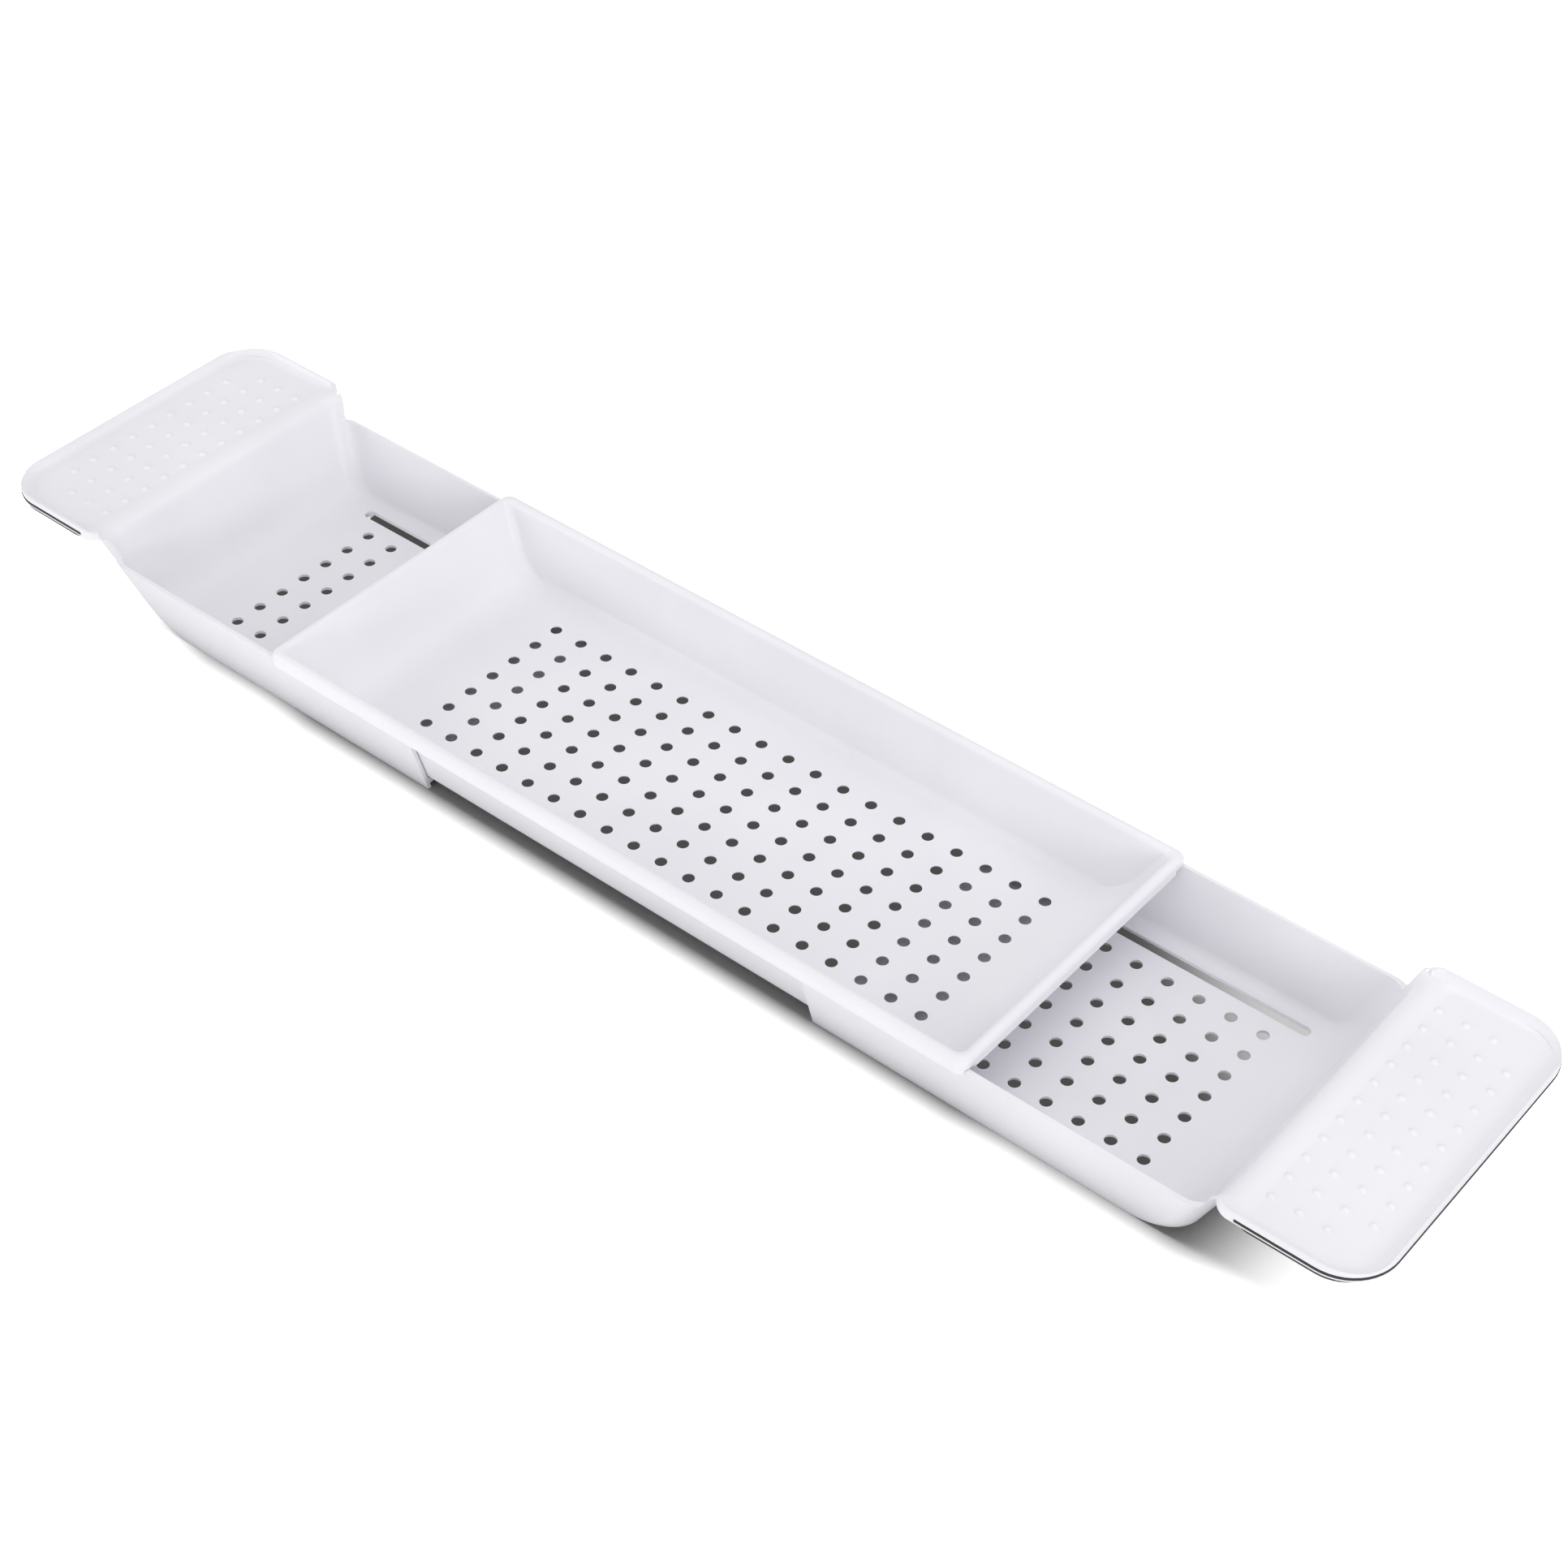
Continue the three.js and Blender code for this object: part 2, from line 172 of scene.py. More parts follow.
def choose(piece, kind, wanted):
    """In edit mode, selects the vertices, edges or faces that the test wants."""
    bpy.ops.mesh.select_mode(type=kind)
    bpy.ops.mesh.select_all(action="DESELECT")
    shape = bmesh.from_edit_mesh(piece.data)
    parts = {"VERT": shape.verts, "EDGE": shape.edges, "FACE": shape.faces}[kind]
    count = 0
    for part in parts:
        if wanted(part):
            part.select_set(True)
            count += 1
    shape.select_flush_mode()
    bmesh.update_edit_mesh(piece.data)
    return count


def plane(name, x_low, x_high, half, z, low_radius, high_radius, steps=CORNER_STEPS):
    """A rounded rectangle, left in edit mode with its face selected."""
    stretch = (x_high - x_low, 2 * half, 1)
    middle = ((x_low + x_high) / 2, 0, z)
    piece = add(bpy.ops.mesh.primitive_plane_add, name, middle, stretch, size=1)
    bpy.ops.object.mode_set(mode="EDIT")
    for x, radius in ((x_low, low_radius), (x_high, high_radius)):
        if radius:
            choose(piece, "VERT", lambda vertex: abs(vertex.co.x - x) < HAIR)
            bpy.ops.mesh.bevel(offset=radius, segments=steps, affect="VERTICES")
    bpy.ops.mesh.select_mode(type="FACE")
    bpy.ops.mesh.select_all(action="SELECT")
    return piece


def close_up(piece):
    """Leaves edit mode with doubles merged and the faces turned outwards."""
    bpy.ops.mesh.select_all(action="SELECT")
    bpy.ops.mesh.remove_doubles(threshold=HAIR / 10)
    bpy.ops.mesh.normals_make_consistent(inside=False)
    bpy.ops.object.mode_set(mode="OBJECT")
    return piece


def tower(name, rings, low_radius, high_radius):
    """A closed solid through a stack of rings, each (x low, x high, half width, z)."""
    x_low, x_high, half, z = rings[0]
    piece = plane(name, x_low, x_high, half, z, low_radius, high_radius)
    for new_low, new_high, new_half, new_z in rings[1:]:
        extrude(((new_low + new_high - x_low - x_high) / 2, 0, new_z - z))
        grow = ((new_high - new_low) / (x_high - x_low), new_half / half, 1)
        bpy.ops.transform.resize(value=grow, center_override=((new_low + new_high) / 2, 0, new_z))
        x_low, x_high, half, z = new_low, new_high, new_half, new_z
    return close_up(piece)


def combine(piece, tool, operation):
    """Cuts a piece with a tool, joins them or keeps what they share. The tool is used up."""
    only(piece)
    bpy.ops.object.modifier_add(type="BOOLEAN")
    modifier = piece.modifiers[-1]
    modifier.operation = operation
    modifier.object = tool
    modifier.solver = "EXACT"
    bpy.ops.object.modifier_apply(modifier=modifier.name)
    bpy.data.meshes.remove(tool.data)
    return piece


def measure(piece, words):
    shape = bmesh.new()
    shape.from_mesh(piece.data)
    loose = sum(not edge.is_manifold for edge in shape.edges)
    volume = shape.calc_volume(signed=True) / MM**3
    print(f"{words}: {len(shape.faces)} faces, {loose} open edges, {volume:.0f} cubic mm")
    shape.free()


def spaced(heights):
    """Heights in order, without those that nearly repeat the one below."""
    kept = []
    for z in sorted(heights):
        if not kept or z - kept[-1] > HAIR / 2:
            kept.append(z)
    return kept


def swept(height, radius, angle):
    """How far out a wall is, from the foot of its line, above a floor that curves into it."""
    if height >= radius * (1 - math.cos(angle)):
        return height / math.tan(angle)
    turn = math.acos(max(-1, 1 - height / radius))
    return radius * (math.sin(turn) - math.tan(angle / 2))


def levels(low, high, radius, angle, steps):
    """Heights at even turns of the curve between a floor and a wall, and the wall's top."""
    curve = [low + radius * (1 - math.cos(angle * i / steps)) for i in range(steps + 1)]
    return curve + [high]


# %% [markdown]
# ## The centre tray
# The real tray is one moulding: its floor sweeps up into a ramp at each end, and its rim rolls
# over into a skirt that hooks over the end trays. It could be an open sheet with thickness, but
# one tower that climbs the inside, rolls over the rim and goes down the outside is closed from the
# start, and gives the roll its true round section.

# %% The centre tray's sections
RAMP_ANGLE = math.radians(60)
RAMP_RADIUS = 30 * MM
FLOOR_CORNER = 5 * MM
SKIRT_DEPTH = 7.6 * MM
INNER_CORNER = 4 * MM
LIP_RADIUS = 0.45 * MM
END_RIM_WIDTH = 4.4 * MM
RUNNER_DEPTH = 2.9 * MM
RUNNER_EDGE = 0.4 * MM
RUNNER_STEP = MM / 2
CURVE_STEPS = 12
SIDE_STEPS = 4
ROLL_STEPS = 7

rim_width = rim_half - centre_inner_half(rim_top)
ramp_top = rim_reach - END_RIM_WIDTH
ramp_foot = ramp_top - CENTRE_DEPTH / math.tan(RAMP_ANGLE)
outer_shift = WALL / math.sin(RAMP_ANGLE)
skirt_low = rim_top - SKIRT_DEPTH
boss_low = end_floor + SLIDE_GAP
runner_low = centre_under - RUNNER_DEPTH
runner_corner = FLOOR_CORNER - SLIDE_GAP


def roll_radius(angle, width):
    """The circle that touches a wall, the rim's top and the skirt's outer face."""
    return width * math.sin(angle) / (1 + math.sin(angle) - math.cos(angle))


def rolled(reach, line, angle, width, z, outside):
    """How far out the roll is at a height, on the skirt's side or the hollow's side."""
    radius = roll_radius(angle, width)
    middle = reach - radius
    rise = z - (rim_top - radius)
    if outside:
        return reach if rise <= 0 else middle + math.sqrt(max(0, radius**2 - rise**2))
    if rise <= radius * math.cos(angle):
        return line
    return middle - math.sqrt(max(0, radius**2 - rise**2))


def centre_ring(z, outside=False, body=False):
    """The tray's ring at a height: the hollow, the rim and skirt outside, or the body under it."""
    if body:
        x = ramp_foot + outer_shift - WALL / math.tan(RAMP_ANGLE)
        x += swept(max(0, z - centre_under), RAMP_RADIUS + WALL, RAMP_ANGLE)
        y = centre_outer_half(boss_low) + swept(z - boss_low, runner_corner, side_angle)
    else:
        height = z - centre_floor
        x = ramp_foot + swept(height, RAMP_RADIUS, RAMP_ANGLE)
        y = centre_inner_half(centre_floor) + swept(height, FLOOR_CORNER, side_angle)
        x = rolled(rim_reach, x, RAMP_ANGLE, END_RIM_WIDTH, z, outside)
        y = rolled(rim_half, y, side_angle, rim_width, z, outside)
    return (-x, x, y, z)


def side_levels(low):
    """Heights through the small curve between a floor and a side wall."""
    lift = FLOOR_CORNER * (1 - math.cos(side_angle))
    return [low + lift * i / SIDE_STEPS for i in range(1, SIDE_STEPS + 1)]


def centre_rings():
    roll = roll_radius(side_angle, rim_width)
    start = math.asin(math.cos(side_angle))
    turns = [start + (math.radians(90) - start) * i / ROLL_STEPS for i in range(ROLL_STEPS + 1)]
    roll_in = [rim_top - roll + roll * math.sin(turn) for turn in turns]
    roll_out = [rim_top - roll * (1 - math.cos(math.radians(90) * i / ROLL_STEPS))
                for i in range(1, ROLL_STEPS + 1)]
    heights = levels(centre_floor, roll_in[0], RAMP_RADIUS, RAMP_ANGLE, CURVE_STEPS)
    heights = spaced(heights + side_levels(centre_floor))
    rings = [centre_ring(z) for z in heights + roll_in[1:]]
    rings += [centre_ring(z, outside=True) for z in roll_out]
    lip = ((0, LIP_RADIUS), (LIP_RADIUS, 0), (WALL - LIP_RADIUS, 0), (WALL, LIP_RADIUS))
    for inset, lift in lip:
        x, y = rim_reach - inset, rim_half - inset
        rings.append((-x, x, y, skirt_low + lift))
    x, y = rim_reach - WALL, rim_half - WALL
    rings.append((-x, x, y, rim_top - WALL - roll / 2))
    rings.append(centre_ring(rim_top - WALL - roll / 4, body=True))
    under = levels(centre_under, rim_top - WALL - roll, RAMP_RADIUS + WALL, RAMP_ANGLE, CURVE_STEPS)
    under += [runner_low + RUNNER_EDGE + i * RUNNER_STEP for i in range(5)]
    rings += [centre_ring(z, body=True) for z in reversed(spaced(under))]
    low_x, x, y, z = rings[-1]
    rings.append((low_x, x, y - RUNNER_EDGE, runner_low))
    return rings


centre_tray = tower("centre_tray_shell", centre_rings(), INNER_CORNER, INNER_CORNER)
measure(centre_tray, "centre tray")

# %% [markdown]
# ## Runners under the side walls
# The side walls run on a little below the floor, so that from the front the tray looks nearly as
# deep as the trays it slides over. Their outer corner follows the rounded corner of the end trays'
# floors. The tower already reaches down to their lower edge, so one cut between them bares the
# floor's underside, and a second one ends them at the ramps' feet.

# %% The runners
RUNNER_INSET = 2 * MM
runner_reach = ramp_foot - RAMP_RADIUS * math.tan(RAMP_ANGLE / 2) - RUNNER_INSET


def level_slab(name, x_low, x_high, half_at):
    """A slab with leaning sides, from below the runners up to the floor's underside."""
    heights = (runner_low - OVERRUN, centre_under)
    return tower(name, [(x_low, x_high, half_at(z), z) for z in heights], 0, 0)


def beyond(z):
    return rim_half + OVERRUN


far = rim_reach + OVERRUN
combine(centre_tray, level_slab("between", -far, far, centre_inner_half), "DIFFERENCE")
combine(centre_tray, level_slab("left_end", -far, -runner_reach, beyond), "DIFFERENCE")
combine(centre_tray, level_slab("right_end", runner_reach, far, beyond), "DIFFERENCE")
measure(centre_tray, "centre tray with its runners")

# %% [markdown]
# ## Holes
# The floors are full of drain holes in a square grid. On the tool each hole is a pin with a small
# flare at the top, which leaves a soft edge round the hole, and a wide one below, so that from
# above the eye meets hardly any wall and the holes look dark. One pin is modelled, copied to
# every place and joined, and a single cut makes all the holes at once.

# %% A grid of flared pins
HOLE_RADIUS = 2.95 * MM
HOLE_EDGE = 0.3 * MM
HOLE_FLARE = 1.3 * MM
HOLE_SIDES = 20
HOLE_PITCH_X = 17 * MM
HOLE_PITCH_Y = 15.6 * MM
HOLE_ROWS = 7
CENTRE_COLUMNS = 19
END_COLUMNS = 10
HOLE_MARGIN = 50 * MM
END_MARGIN = 8 * MM


def turned(name, sections, sides):
    """A round solid on the Z axis through sections given as (radius, z)."""
    radius, z = sections[0]
    piece = add(bpy.ops.mesh.primitive_circle_add, name, (0, 0, z),
                vertices=sides, radius=radius, fill_type="NGON")
    edit_all()
    for new_radius, new_z in sections[1:]:
        extrude((0, 0, new_z - z))
        grow = new_radius / radius
        bpy.ops.transform.resize(value=(grow, grow, 1), center_override=(0, 0, new_z))
        radius, z = new_radius, new_z
    return close_up(piece)


def copies(first, places):
    """Copies of a piece at the given places, joined to it as one mesh."""
    joined = [first]
    for x, y in places[1:]:
        twin = first.copy()
        twin.data = first.data.copy()
        twin.location = (x, y, 0)
        bpy.context.collection.objects.link(twin)
        joined.append(twin)
    first.location = (*places[0], 0)
    only(first)
    for twin in joined:
        twin.select_set(True)
    bpy.ops.object.join()
    bpy.ops.object.transform_apply(location=True, rotation=False, scale=False)
    return first


def hole_pin(top, bottom):
    """A pin that flares a little at the floor's top and widely below it."""
    half_edge = HOLE_EDGE * (1 - math.sqrt(0.5))
    return turned("pin", [
        (HOLE_RADIUS + 2 * HOLE_EDGE, top + HOLE_EDGE), (HOLE_RADIUS + HOLE_EDGE, top),
        (HOLE_RADIUS + half_edge, top - half_edge), (HOLE_RADIUS, top - HOLE_EDGE),
        (HOLE_RADIUS + HOLE_FLARE, bottom),
        (HOLE_RADIUS + HOLE_FLARE, bottom - OVERRUN)], HOLE_SIDES)


def hole_grid(first_x, columns, top, bottom):
    places = [(first_x + column * HOLE_PITCH_X, (row - (HOLE_ROWS - 1) / 2) * HOLE_PITCH_Y)
              for column in range(columns) for row in range(HOLE_ROWS)]
    return copies(hole_pin(top, bottom), places)


first_hole = rim_reach - HOLE_MARGIN - (CENTRE_COLUMNS - 1) * HOLE_PITCH_X
centre_pins = hole_grid(first_hole, CENTRE_COLUMNS, centre_floor, centre_under)
combine(centre_tray, centre_pins, "DIFFERENCE")
measure(centre_tray, "centre tray with its holes")

# %% [markdown]
# ## Where the end trays pass the rim
# The end trays' side walls run through the ends of the hooked rim, so the skirt is notched there.
# Each notch is a bar along the caddy, cut from below. The end trays are rounded where their walls
# meet their slopes, so the skirt's ends beside the notches are cut off slantwise with turned bars.

# %% Notches at the rim's corners
NOTCH_RADIUS = 1.2 * MM
CORNER_CUT = 4 * MM


def bar(name, low, high, soft_edges=None, radius=0, steps=4):
    """A box between two corners, with the edges that the test wants rounded."""
    middle = [(a + b) / 2 for a, b in zip(low, high)]
    stretch = [b - a for a, b in zip(low, high)]
    piece = add(bpy.ops.mesh.primitive_cube_add, name, middle, stretch, size=1)
    if soft_edges:
        bpy.ops.object.mode_set(mode="EDIT")
        choose(piece, "EDGE", soft_edges)
        bpy.ops.mesh.bevel(offset=radius, segments=steps, affect="EDGES")
        bpy.ops.object.mode_set(mode="OBJECT")
    return piece


def near(a, b, tolerance=0.01 * MM):
    return abs(a - b) < tolerance


corridor_top = end_rim + SLIDE_GAP
corridor_inner = end_inner_half(skirt_low) - SLIDE_GAP
corridor_outer = rim_half - WALL


def long_top(edge):
    a, b = (vertex.co for vertex in edge.verts)
    return near(a.z, corridor_top) and near(b.z, corridor_top) and near(a.y, b.y)


for side in (-1, 1):
    inner, outer = sorted((side * corridor_inner, side * corridor_outer))
    corridor = bar("corridor", (-rim_reach - OVERRUN, inner, skirt_low - OVERRUN),
                   (rim_reach + OVERRUN, outer, corridor_top), long_top, NOTCH_RADIUS)
    combine(centre_tray, corridor, "DIFFERENCE")
    for end in (-1, 1):
        x, y, half = end * rim_reach, side * corridor_inner, CORNER_CUT / math.sqrt(2)
        corner = bar("corner", (x - half, y - half, skirt_low - OVERRUN),
                     (x + half, y + half, corridor_top - HAIR))
        edit_all()
        bpy.ops.transform.rotate(value=math.radians(45), orient_axis="Z", center_override=(x, y, 0))
        bpy.ops.object.mode_set(mode="OBJECT")
        combine(centre_tray, corner, "DIFFERENCE")
measure(centre_tray, "centre tray with its notches")

# %% [markdown]
# ## Bosses for the slide studs
# Under each ramp two round bosses reach down to the end trays' slots, and a stud is pressed into
# each. One boss and its bore are made, copied to the four places, joined on and cut.

# %% Bosses and bores
BOSS_RADIUS = 4.5 * MM
BOSS_EDGE = 0.4 * MM
STUD_RADIUS = 2 * MM
ROUND_SIDES = 32

stud_x = (stud_low.x + stud_high.x) / 2
stud_y = (stud_low.y + stud_high.y) / 2
stud_places = [(x, y) for x in (-stud_x, stud_x) for y in (-stud_y, stud_y)]

boss = turned("boss", [(BOSS_RADIUS - BOSS_EDGE, boss_low), (BOSS_RADIUS, boss_low + BOSS_EDGE),
                       (BOSS_RADIUS, centre_floor - HAIR)], ROUND_SIDES)
combine(centre_tray, copies(boss, stud_places), "UNION")
bore_radius = STUD_RADIUS + FIT_GAP
bore = turned("bore", [(bore_radius, boss_low - OVERRUN), (bore_radius, centre_under)], ROUND_SIDES)
combine(centre_tray, copies(bore, stud_places), "DIFFERENCE")
measure(centre_tray, "centre tray with its bosses")

# %% [markdown]
# ## The end trays
# Each end tray is a scoop, open towards the middle. Its outer end slopes up to a ridge, and past
# the ridge a shallow pan lies on the bath's edge. The outside is one tower of rings and the wing is
# a rounded slab. Two more towers, the scoop's hollow and the pan's, are then cut away from them.

# %% The end tray's outside
SLOPE_ANGLE = math.radians(66)
SLOPE_START = 192 * MM
HEEL_RADIUS = 26 * MM
SLOPE_RADIUS = 24 * MM
SCOOP_CORNER = 9 * MM
FOOT_EDGE = 0.5 * MM
WING_THICKNESS = 5.5 * MM
WING_LENGTH = 73 * MM
WING_OVERHANG = 3.9 * MM
SHOULDER = 8 * MM
WING_CORNER = 24 * MM

wing_start = wing_reach - WING_LENGTH
wing_half = end_rim_half + WING_OVERHANG
wing_under = wing_top - WING_THICKNESS
slope_line = end_start + SLOPE_START
outer_line = slope_line + WALL / math.sin(SLOPE_ANGLE)


def scoop_half(z):
    """The outside of a side wall, easing above the rim so that it ends flush with the wing."""
    if z <= end_rim:
        return end_outer_half(z)
    return end_rim_half + (wing_half - end_rim_half) * (z - end_rim) / (wing_top - end_rim)


def outer_ring(z, half):
    return (end_start, outer_line + swept(z, HEEL_RADIUS, SLOPE_ANGLE), half, z)


outer_levels = levels(0, wing_top, HEEL_RADIUS, SLOPE_ANGLE, CURVE_STEPS)[1:]
outer_rings = [outer_ring(0, end_outer_half(0) - FOOT_EDGE)]
for z in spaced(outer_levels + [FOOT_EDGE, end_rim]):
    outer_rings.append(outer_ring(z, scoop_half(z)))
end_tray = tower("end_tray", outer_rings, 0, SCOOP_CORNER)
measure(end_tray, "scoop")

# %% [markdown]
# The wing starts as a rounded slab with a soft lower edge. Towards the scoop it is thinned from
# below by a wedge on each side, so that only a thin lip is left where it meets the rim.

# %% The wing's slab
WING_EDGE = 0.6 * MM
TAPER_RUN = 10 * MM
TAPER_RISE = 3.2 * MM
WING_STEPS = 12
FACING = 0.9


def slab(name, x_low, x_high, half, low, high, low_radius, high_radius,
         low_edge=0, high_edge=0, steps=4):
    """A rounded plate, its edges rounded by insets that follow its outline."""
    piece = plane(name, x_low, x_high, half, low + low_edge, low_radius, high_radius, WING_STEPS)
    extrude((0, 0, high - high_edge - low - low_edge))
    bpy.ops.mesh.select_all(action="SELECT")
    bpy.ops.mesh.normals_make_consistent(inside=False)
    for up, radius in ((1, high_edge), (-1, low_edge)):
        if not radius:
            continue
        choose(piece, "FACE", lambda face: face.normal.z * up > FACING)
        turns = [math.radians(90) * i / steps for i in range(steps + 1)]
        for before, after in zip(turns, turns[1:]):
            bpy.ops.mesh.inset(thickness=radius * (math.cos(before) - math.cos(after)),
                               depth=radius * (math.sin(after) - math.sin(before)))
    return close_up(piece)


def taper(side):
    """A wedge that thins the wing from below, where it sets off from the rim."""
    inner, outer = sorted((side * (end_rim_half - WING_EDGE), side * (wing_half + OVERRUN)))
    foot = wing_start + TAPER_RUN
    piece = bar("taper", (wing_start - OVERRUN, inner, wing_under - OVERRUN),
                (foot, outer, wing_under + TAPER_RISE))
    bpy.ops.object.mode_set(mode="EDIT")
    choose(piece, "VERT", lambda v: near(v.co.x, foot) and v.co.z > wing_under)
    bpy.ops.transform.translate(value=(0, 0, -TAPER_RISE - HAIR))
    return close_up(piece)


wing = slab("wing", wing_start, wing_reach, wing_half, wing_under, wing_top, SHOULDER, WING_CORNER,
            low_edge=WING_EDGE)
for side in (-1, 1):
    combine(wing, taper(side), "DIFFERENCE")
combine(end_tray, wing, "UNION")
measure(end_tray, "end tray with its wing")

# %% [markdown]
# The rim of the scoop is low enough to pass under the centre tray's rim, and swoops up to the
# wing in a soft S. A bar is cut away above it: a cube whose end face is extruded, slid up and
# extruded again, and whose two bends are then bevelled round.

# %% The rim's swoop
SWOOP_INSET = 5.62 * MM
SWOOP_RUN = 5.5 * MM
SWOOP_LOW_RADIUS = 2.2 * MM
SWOOP_HIGH_RADIUS = 8 * MM
SWOOP_STEPS = 8

ridge_line_x = outer_line + wing_top / math.tan(SLOPE_ANGLE)
swoop_end = ridge_line_x - SWOOP_INSET
swoop_start = swoop_end - SWOOP_RUN
swoop_top = wing_top + HAIR


def swoop_cutter():
    high = wing_top + OVERRUN
    half = wing_half + OVERRUN
    piece = bar("swoop", (end_start - OVERRUN, -half, end_rim), (swoop_start, half, high))
    bpy.ops.object.mode_set(mode="EDIT")
    choose(piece, "FACE", lambda face: face.normal.x > FACING)
    extrude((swoop_end - swoop_start, 0, 0))
    choose(piece, "VERT", lambda v: near(v.co.x, swoop_end) and near(v.co.z, end_rim))
    bpy.ops.transform.translate(value=(0, 0, swoop_top - end_rim))
    choose(piece, "FACE", lambda face: all(near(v.co.x, swoop_end) for v in face.verts))
    extrude((WING_LENGTH + OVERRUN, 0, 0))
    turn = math.atan2(wing_top - end_rim, SWOOP_RUN)
    for x, z, radius in ((swoop_start, end_rim, SWOOP_LOW_RADIUS),
                         (swoop_end, swoop_top, SWOOP_HIGH_RADIUS)):
        choose(piece, "EDGE",
               lambda edge: all(near(v.co.x, x) and near(v.co.z, z) for v in edge.verts))
        bpy.ops.mesh.bevel(offset=radius * math.tan(turn / 2), segments=SWOOP_STEPS, affect="EDGES")
    return close_up(piece)


combine(end_tray, swoop_cutter(), "DIFFERENCE")
measure(end_tray, "scoop with its swoop")

# %% [markdown]
# ## The scoop's hollow and the pan
# The hollow climbs the slope and rolls over at the ridge. The pan's lip is a soft S all round, in
# which the sides reach the raised edge and the inner end reaches the lower ridge.

# %% The two hollows
RIDGE_DROP = 2.9 * MM
RIDGE_RADIUS = 8 * MM
PAN_FLOOR = 1.7 * MM
PAN_EDGE = 1.2 * MM
PAN_LIP_RADIUS = 6.5 * MM
RIDGE_FALL = 7 * MM
PAN_STEPS = 9
PAN_CORNER = 16 * MM
RIDGE_CORNER = 5 * MM
RIDGE_FLAT = 0.6 * MM
RIDGE_BACK = 0.7 * MM

ridge_top = wing_top - RIDGE_DROP
pan_floor = wing_under + PAN_FLOOR
crest_x = slope_line + ridge_top / math.tan(SLOPE_ANGLE) + RIDGE_RADIUS * math.tan(SLOPE_ANGLE / 2)
ridge_x = crest_x + RIDGE_FLAT
pan_low = ridge_x + RIDGE_BACK + RIDGE_FALL
pan_depth = wing_top - pan_floor
pan_lip = math.sqrt(PAN_LIP_RADIUS**2 - (PAN_LIP_RADIUS - pan_depth)**2)
pan_high = wing_reach - PAN_EDGE - pan_lip
pan_half = wing_half - PAN_EDGE - pan_lip


def scoop_reach(z):
    if z < ridge_top - RIDGE_RADIUS * (1 - math.cos(SLOPE_ANGLE)):
        foot = slope_line + end_floor / math.tan(SLOPE_ANGLE)
        return foot + swept(z - end_floor, SLOPE_RADIUS, SLOPE_ANGLE)
    rise = z - (ridge_top - RIDGE_RADIUS)
    return crest_x - math.sqrt(max(0, RIDGE_RADIUS**2 - rise**2))


def scoop_inner(z):
    straight = scoop_half(z) - wall_across
    height = z - end_floor
    return straight - height * lean + swept(height, FLOOR_CORNER, side_angle)


def scoop_cutter():
    rolls = [ridge_top - RIDGE_RADIUS * (1 - math.cos(SLOPE_ANGLE * i / ROLL_STEPS))
             for i in range(1, ROLL_STEPS + 1)]
    heights = levels(end_floor, ridge_top, SLOPE_RADIUS, SLOPE_ANGLE, CURVE_STEPS)
    heights += side_levels(end_floor) + rolls + [end_rim]
    x_low = end_start - OVERRUN
    rings = [(x_low, scoop_reach(z), scoop_inner(z), z) for z in spaced(heights)]
    rings.append((x_low, ridge_x, scoop_inner(ridge_top + HAIR), ridge_top + HAIR))
    rings.append((x_low, ridge_x, scoop_inner(wing_top + OVERRUN), wing_top + OVERRUN))
    return tower("scoop", rings, 0, SCOOP_CORNER)


def pan_side(z):
    """The pan's sides curve up from its floor to the thin raised edge."""
    height = min(z, wing_top) - pan_floor
    return math.sqrt(PAN_LIP_RADIUS**2 - (PAN_LIP_RADIUS - height)**2)


def ridge_side(z):
    """The pan's inner end rises in a shallow S to the ridge, and is open above it."""
    share = (z - pan_floor) / (ridge_top + HAIR - pan_floor)
    if share > 1 + HAIR:
        return ridge_x - RIDGE_CORNER
    return pan_low - RIDGE_FALL * math.acos(1 - 2 * min(1, share)) / math.pi


def pan_cutter():
    rise = ridge_top + HAIR - pan_floor
    turns = [math.pi * i / PAN_STEPS for i in range(PAN_STEPS + 1)]
    heights = [pan_floor + rise * (1 - math.cos(turn)) / 2 for turn in turns]
    heights += [pan_floor + rise + HAIR]
    heights += [pan_floor + pan_depth * (i / PAN_STEPS)**2 for i in range(1, PAN_STEPS + 1)]
    rings = [(ridge_side(z), pan_high + pan_side(z), pan_half + pan_side(z), z)
             for z in spaced(heights)]
    x_low, x_high, half, z = rings[-1]
    rings.append((x_low, x_high, half, wing_top + OVERRUN))
    return tower("pan", rings, RIDGE_CORNER, PAN_CORNER)


scoop = scoop_cutter()
measure(scoop, "the scoop's hollow")
combine(end_tray, scoop, "DIFFERENCE")
measure(end_tray, "end tray with its scoop")
pan = pan_cutter()
measure(pan, "the pan's hollow")
combine(end_tray, pan, "DIFFERENCE")
measure(end_tray, "end tray with its hollows")

# %% [markdown]
# ## Under the floor, round the wing's edge, and the slots
# The floor stands clear of the table on the side walls' feet. A groove round the wing holds its
# dark strip, and two slots let the studs slide. Each is one cutter.

# %% The recess, the groove, the holes and the slots
STRIP_INSET = 12 * MM
STRIP_DEPTH = 2.2 * MM
STRIP_PROUD = 0.3 * MM
STRIP_TRIM = 0.2 * MM
SLOT_SIDE_GAP = 0.8 * MM
SLOT_END_GAP = 1.5 * MM
TRAVEL = 113 * MM

recess_end = stud_x + TRAVEL + (stud_high.x - stud_low.x) / 2 + SLOT_END_GAP
strip_start = wing_start + STRIP_INSET
strip_base, strip_top = strip_low.z + STRIP_TRIM, strip_high.z - STRIP_TRIM
inner_slab = (wing_start + STRIP_DEPTH, wing_reach - STRIP_DEPTH, wing_half - STRIP_DEPTH)


